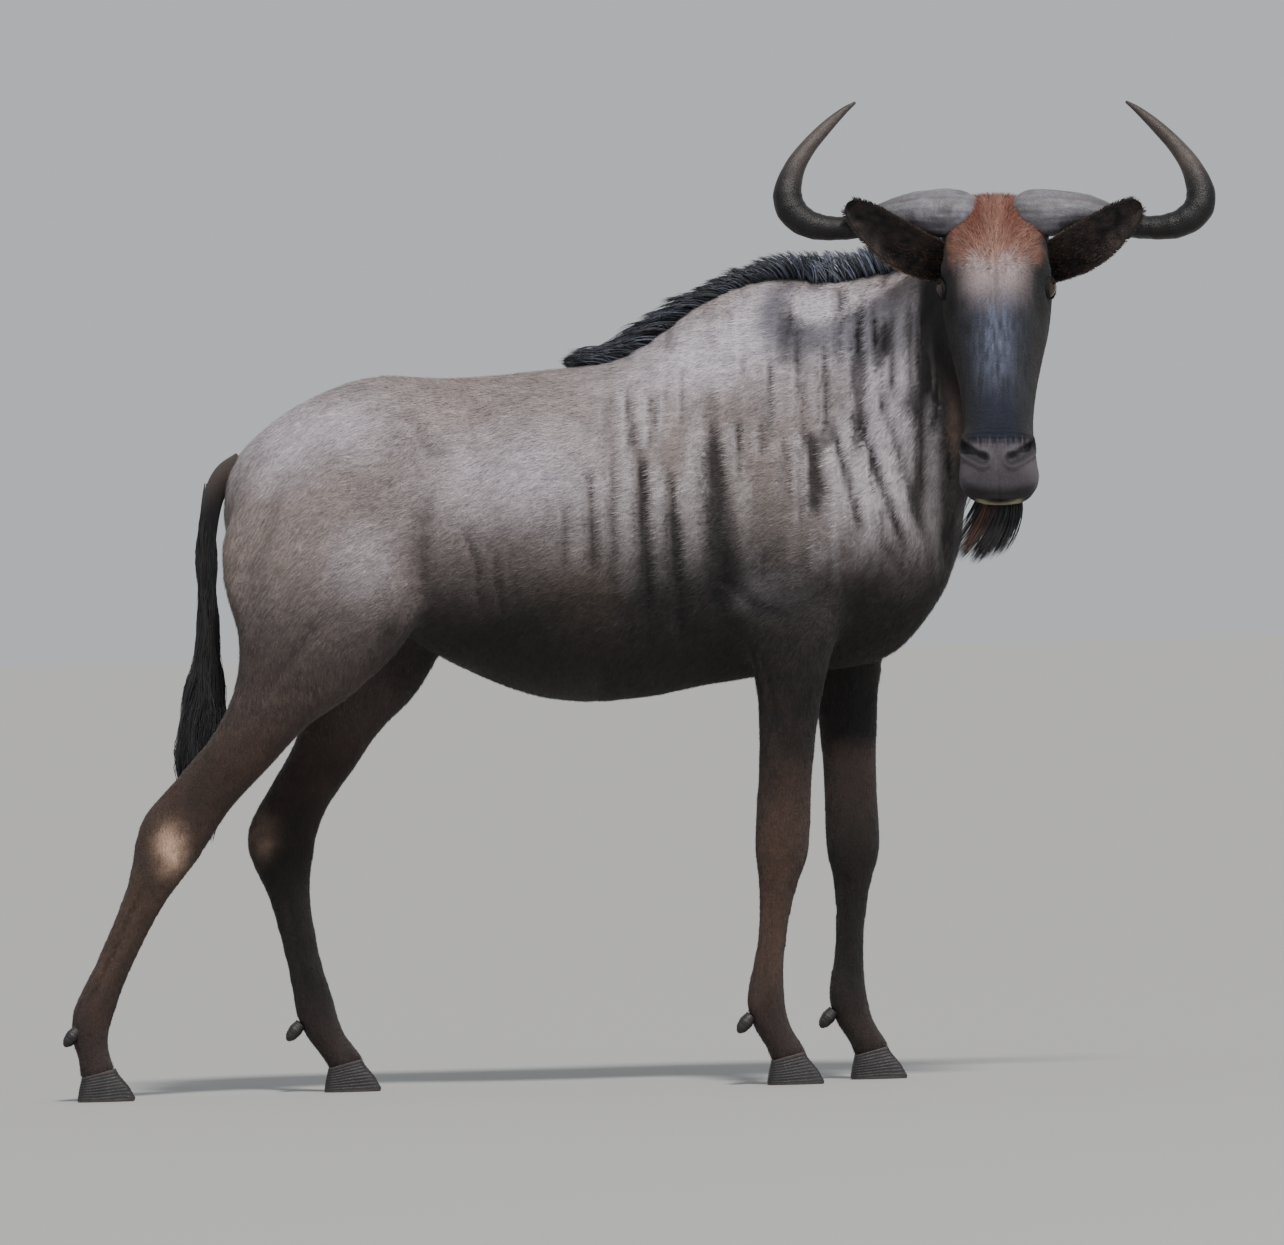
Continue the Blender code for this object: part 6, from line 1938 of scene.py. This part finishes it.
@dataclass(frozen=True)
class Skin:
    """The one skin under the coat, from the flesh with its surface drawn in by the coat's depth."""

    depth: float = 0.0035
    face_depth: float = 0.0015
    fold_depth: float = 0.0055
    ridge_height: float = 0.0015
    crease_depth: float = 0.0075

    def tendons(self, points: Array, normals: Array) -> Array:
        """Presses a groove between cannon bone and tendon into both sides of each leg.

        The groove is a bell across the leg's side, behind its line, from under knee or hock to the
        fetlock, with a fainter one before it, and a hollow over the heel.
        """
        for leg in LEGS.values():
            line = leg.line()[::-1]
            x, y, z = points.T
            middle = np.interp(z, line[:, 2], line[:, 0])
            near = (np.sign(y) == leg.side.value) & (np.abs(x - middle) < 0.09) & (z < 0.42)
            back = x - middle + 0.004
            span = ramp(0.13, 0.18, z) * ramp(0.36, 0.3, z)
            groove = -0.0034 * bell(back, -0.008, 0.0055) + 0.0014 * bell(back, 0.01, 0.006)
            sideways = np.abs(normals[:, 1]) ** 2
            points = points + (near * span * groove * sideways)[:, None] * normals
        return points

    def mesh(self) -> bpy.types.Mesh:
        """Fused flesh, finer on the head, drawn in, trimmed at the coronets and sculpted.

        Returns:
            The new mesh, painted.
        """
        mesh = FLESH.fused()
        FACE.prepare(mesh)
        points, normals = read(mesh), read(mesh, normals=True)
        head = MARKINGS.head_share(points)
        low = ramp(0.62, 0.4, points[:, 2])
        depth = self.depth + (self.face_depth - self.depth) * np.maximum(head, low)
        deep, ridge = MARKINGS.folded(points)
        deep = self.fold_depth * deep - self.ridge_height * ridge + self.crease_depth * MARKINGS.creased(points)
        depth = depth + deep * (1.0 - head)
        points = points - depth[:, None] * normals
        for leg in LEGS.values():
            foot = leg.line()[4]
            near = (np.abs(points[:, 0] - foot[0]) < 0.09) & (np.abs(points[:, 1] - foot[1]) < 0.06)
            near &= points[:, 2] < 0.12
            plane = CORONET + (points[:, 0] - foot[0] - 0.004) * math.tan(CORONET_SLOPE) - 0.006
            squeeze = ramp(plane + 0.03, plane, points[:, 2]) * near
            points[:, 1] += (foot[1] - points[:, 1]) * 0.06 * squeeze
            points[:, 2] = np.where(near, np.maximum(points[:, 2], plane), points[:, 2])
        points = self.tendons(points, normals)
        write(mesh, points)
        FACE.sculpt(mesh)
        paint(mesh, "tint", MARKINGS.tint(read(mesh), read(mesh, normals=True)))
        return mesh


def stand(name: str, data: bpy.types.ID, matrix: Matrix | None = None) -> bpy.types.Object:
    """Adds an object for some data to the scene, at a matrix where one is given.

    Args:
        name: The object's name.
        data: What it shows.
        matrix: Its place and turn.
    Returns:
        The object.
    """
    thing = bpy.data.objects.new(name, data)
    bpy.context.scene.collection.objects.link(thing)
    if matrix is not None:
        thing.matrix_world = matrix
    return thing


@dataclass(frozen=True)
class Studio:
    """Pale floor, soft lights and the camera."""

    camera_at: tuple[float, float, float] = (0.0186, -20.0, 0.7438)
    lens: float = 349.4
    sensor: float = 36.0
    roll: float = math.radians(-1.43)
    sun_way: tuple[float, float, float] = (-0.13, 0.58, -0.8)
    sun_width: float = math.radians(9.0)
    sun_power: float = 4.1
    fill_at: tuple[float, float, float] = (4.5, -7.0, 3.2)
    fill_size: float = 4.0
    fill_power: float = 120.0
    floor_edge: float = 300.0
    floor_colour: tuple[float, float, float, float] = (0.34, 0.338, 0.334, 1.0)
    sky_colour: tuple[float, float, float, float] = (0.86, 0.89, 0.93, 1.0)
    sky_power: float = 0.62

    def camera(self) -> None:
        """A long lens level with the body, rolled a little as the photo is."""
        data = bpy.data.cameras.new("camera")
        data.lens, data.sensor_width, data.clip_end = self.lens, self.sensor, 1000.0
        turn = Matrix.Rotation(math.pi / 2, 4, "X") @ Matrix.Rotation(self.roll, 4, "Z")
        place = Matrix.Translation(Vector(np.array(self.camera_at) + SHIFT))
        bpy.context.scene.camera = stand("camera", data, place @ turn)

    def sun(self) -> None:
        """A broad high light from the camera's side, a little from the front of the body."""
        data = bpy.data.lights.new("key", "SUN")
        data.angle, data.energy, data.color = self.sun_width, self.sun_power, (1.0, 0.97, 0.92)
        stand("key", data, Vector(self.sun_way).to_track_quat("-Z", "Y").to_matrix().to_4x4())

    def fill(self) -> None:
        """A soft round light before the head, aimed at the body's middle."""
        data = bpy.data.lights.new("fill", "AREA")
        data.shape, data.size, data.energy, data.color = "DISK", self.fill_size, self.fill_power, (0.9, 0.95, 1.0)
        aim = Vector((0.0, 0.0, 0.8)) - Vector(self.fill_at)
        turn = aim.to_track_quat("-Z", "Y").to_matrix().to_4x4()
        stand("fill", data, Matrix.Translation(Vector(self.fill_at)) @ turn)

    def floor(self) -> None:
        """A large pale floor."""
        edge = self.floor_edge
        mesh = make_mesh("floor", np.array([(-edge, -edge, 0.0), (edge, -edge, 0.0), (edge, edge, 0.0),
                                            (-edge, edge, 0.0)]), np.array([[0, 1, 2, 3]]))
        material = bpy.data.materials.new("pale_floor")
        material.use_nodes = True
        shader = material.node_tree.nodes["Principled BSDF"]
        shader.inputs["Base Color"].default_value = self.floor_colour
        shader.inputs["Roughness"].default_value = 0.85
        mesh.materials.append(material)
        stand("floor", mesh)

    def build(self) -> None:
        """Sets camera, floor, lights and a pale world."""
        self.camera()
        self.floor()
        self.sun()
        self.fill()
        world = bpy.data.worlds.new("pale")
        world.use_nodes = True
        sky = world.node_tree.nodes["Background"].inputs
        sky["Color"].default_value, sky["Strength"].default_value = self.sky_colour, self.sky_power
        bpy.context.scene.world = world


def main() -> None:
    """Builds the model piece by piece, then the studio round it."""
    logging.basicConfig(level=logging.INFO, format="%(name)s %(message)s")
    tools = {"colour": noise_group("varied colour", 5.0, 0.65, (0.32, 0.68), "Colour"),
             "gloss": noise_group("gloss", 3.0, 0.6, (0.3, 0.7), "Roughness"),
             "relief": noise_group("relief", 4.0, 0.6, (0.3, 0.7), "Height")}
    skin, hair, horn, hoof, eye, fur = (item.material(tools) for item in (SKIN, HAIR, HORN, HOOF, EYE_GLOSS, FUR))
    mesh = Skin().mesh()
    shape = bmesh.new()
    shape.from_mesh(mesh)
    tree = BVHTree.FromBMesh(shape)
    shape.free()
    triangles = np.empty(len(mesh.loop_triangles) * 3, dtype=np.int32)
    mesh.loop_triangles.foreach_get("vertices", triangles)
    coats = Coat().grow(read(mesh), read(mesh, normals=True), triangles.reshape(-1, 3))
    for region in REGIONS:
        place_piece(f"coat_{region.name}", coats[region.name], fur)
    LongHair().build_mane(tree, hair)
    LongHair().build_beard(hair)
    LongHair().build_tuft(hair)
    place_piece("skin", mesh, skin, FLESH_NODES)
    for side in Side:
        place_piece(f"horn_{side.word}_sheath", Horns().mesh(side), horn, (f"horn_{side.word}",))
        place_piece(f"ear_{side.word}_leaf", Ears().mesh(side), skin, (f"ear_{side.word}",))
        place_piece(f"ear_{side.word}_hair", Ears().fur(side), fur)
        place_piece(f"eye_{side.word}_ball", Eyes().mesh(side), eye, (f"eye_{side.word}",))
    Hooves().build(hoof)
    place_piece("tail_dock", Tail().mesh(), skin, ("tail",))
    Studio().build()


if __name__ == "__main__":
    main()
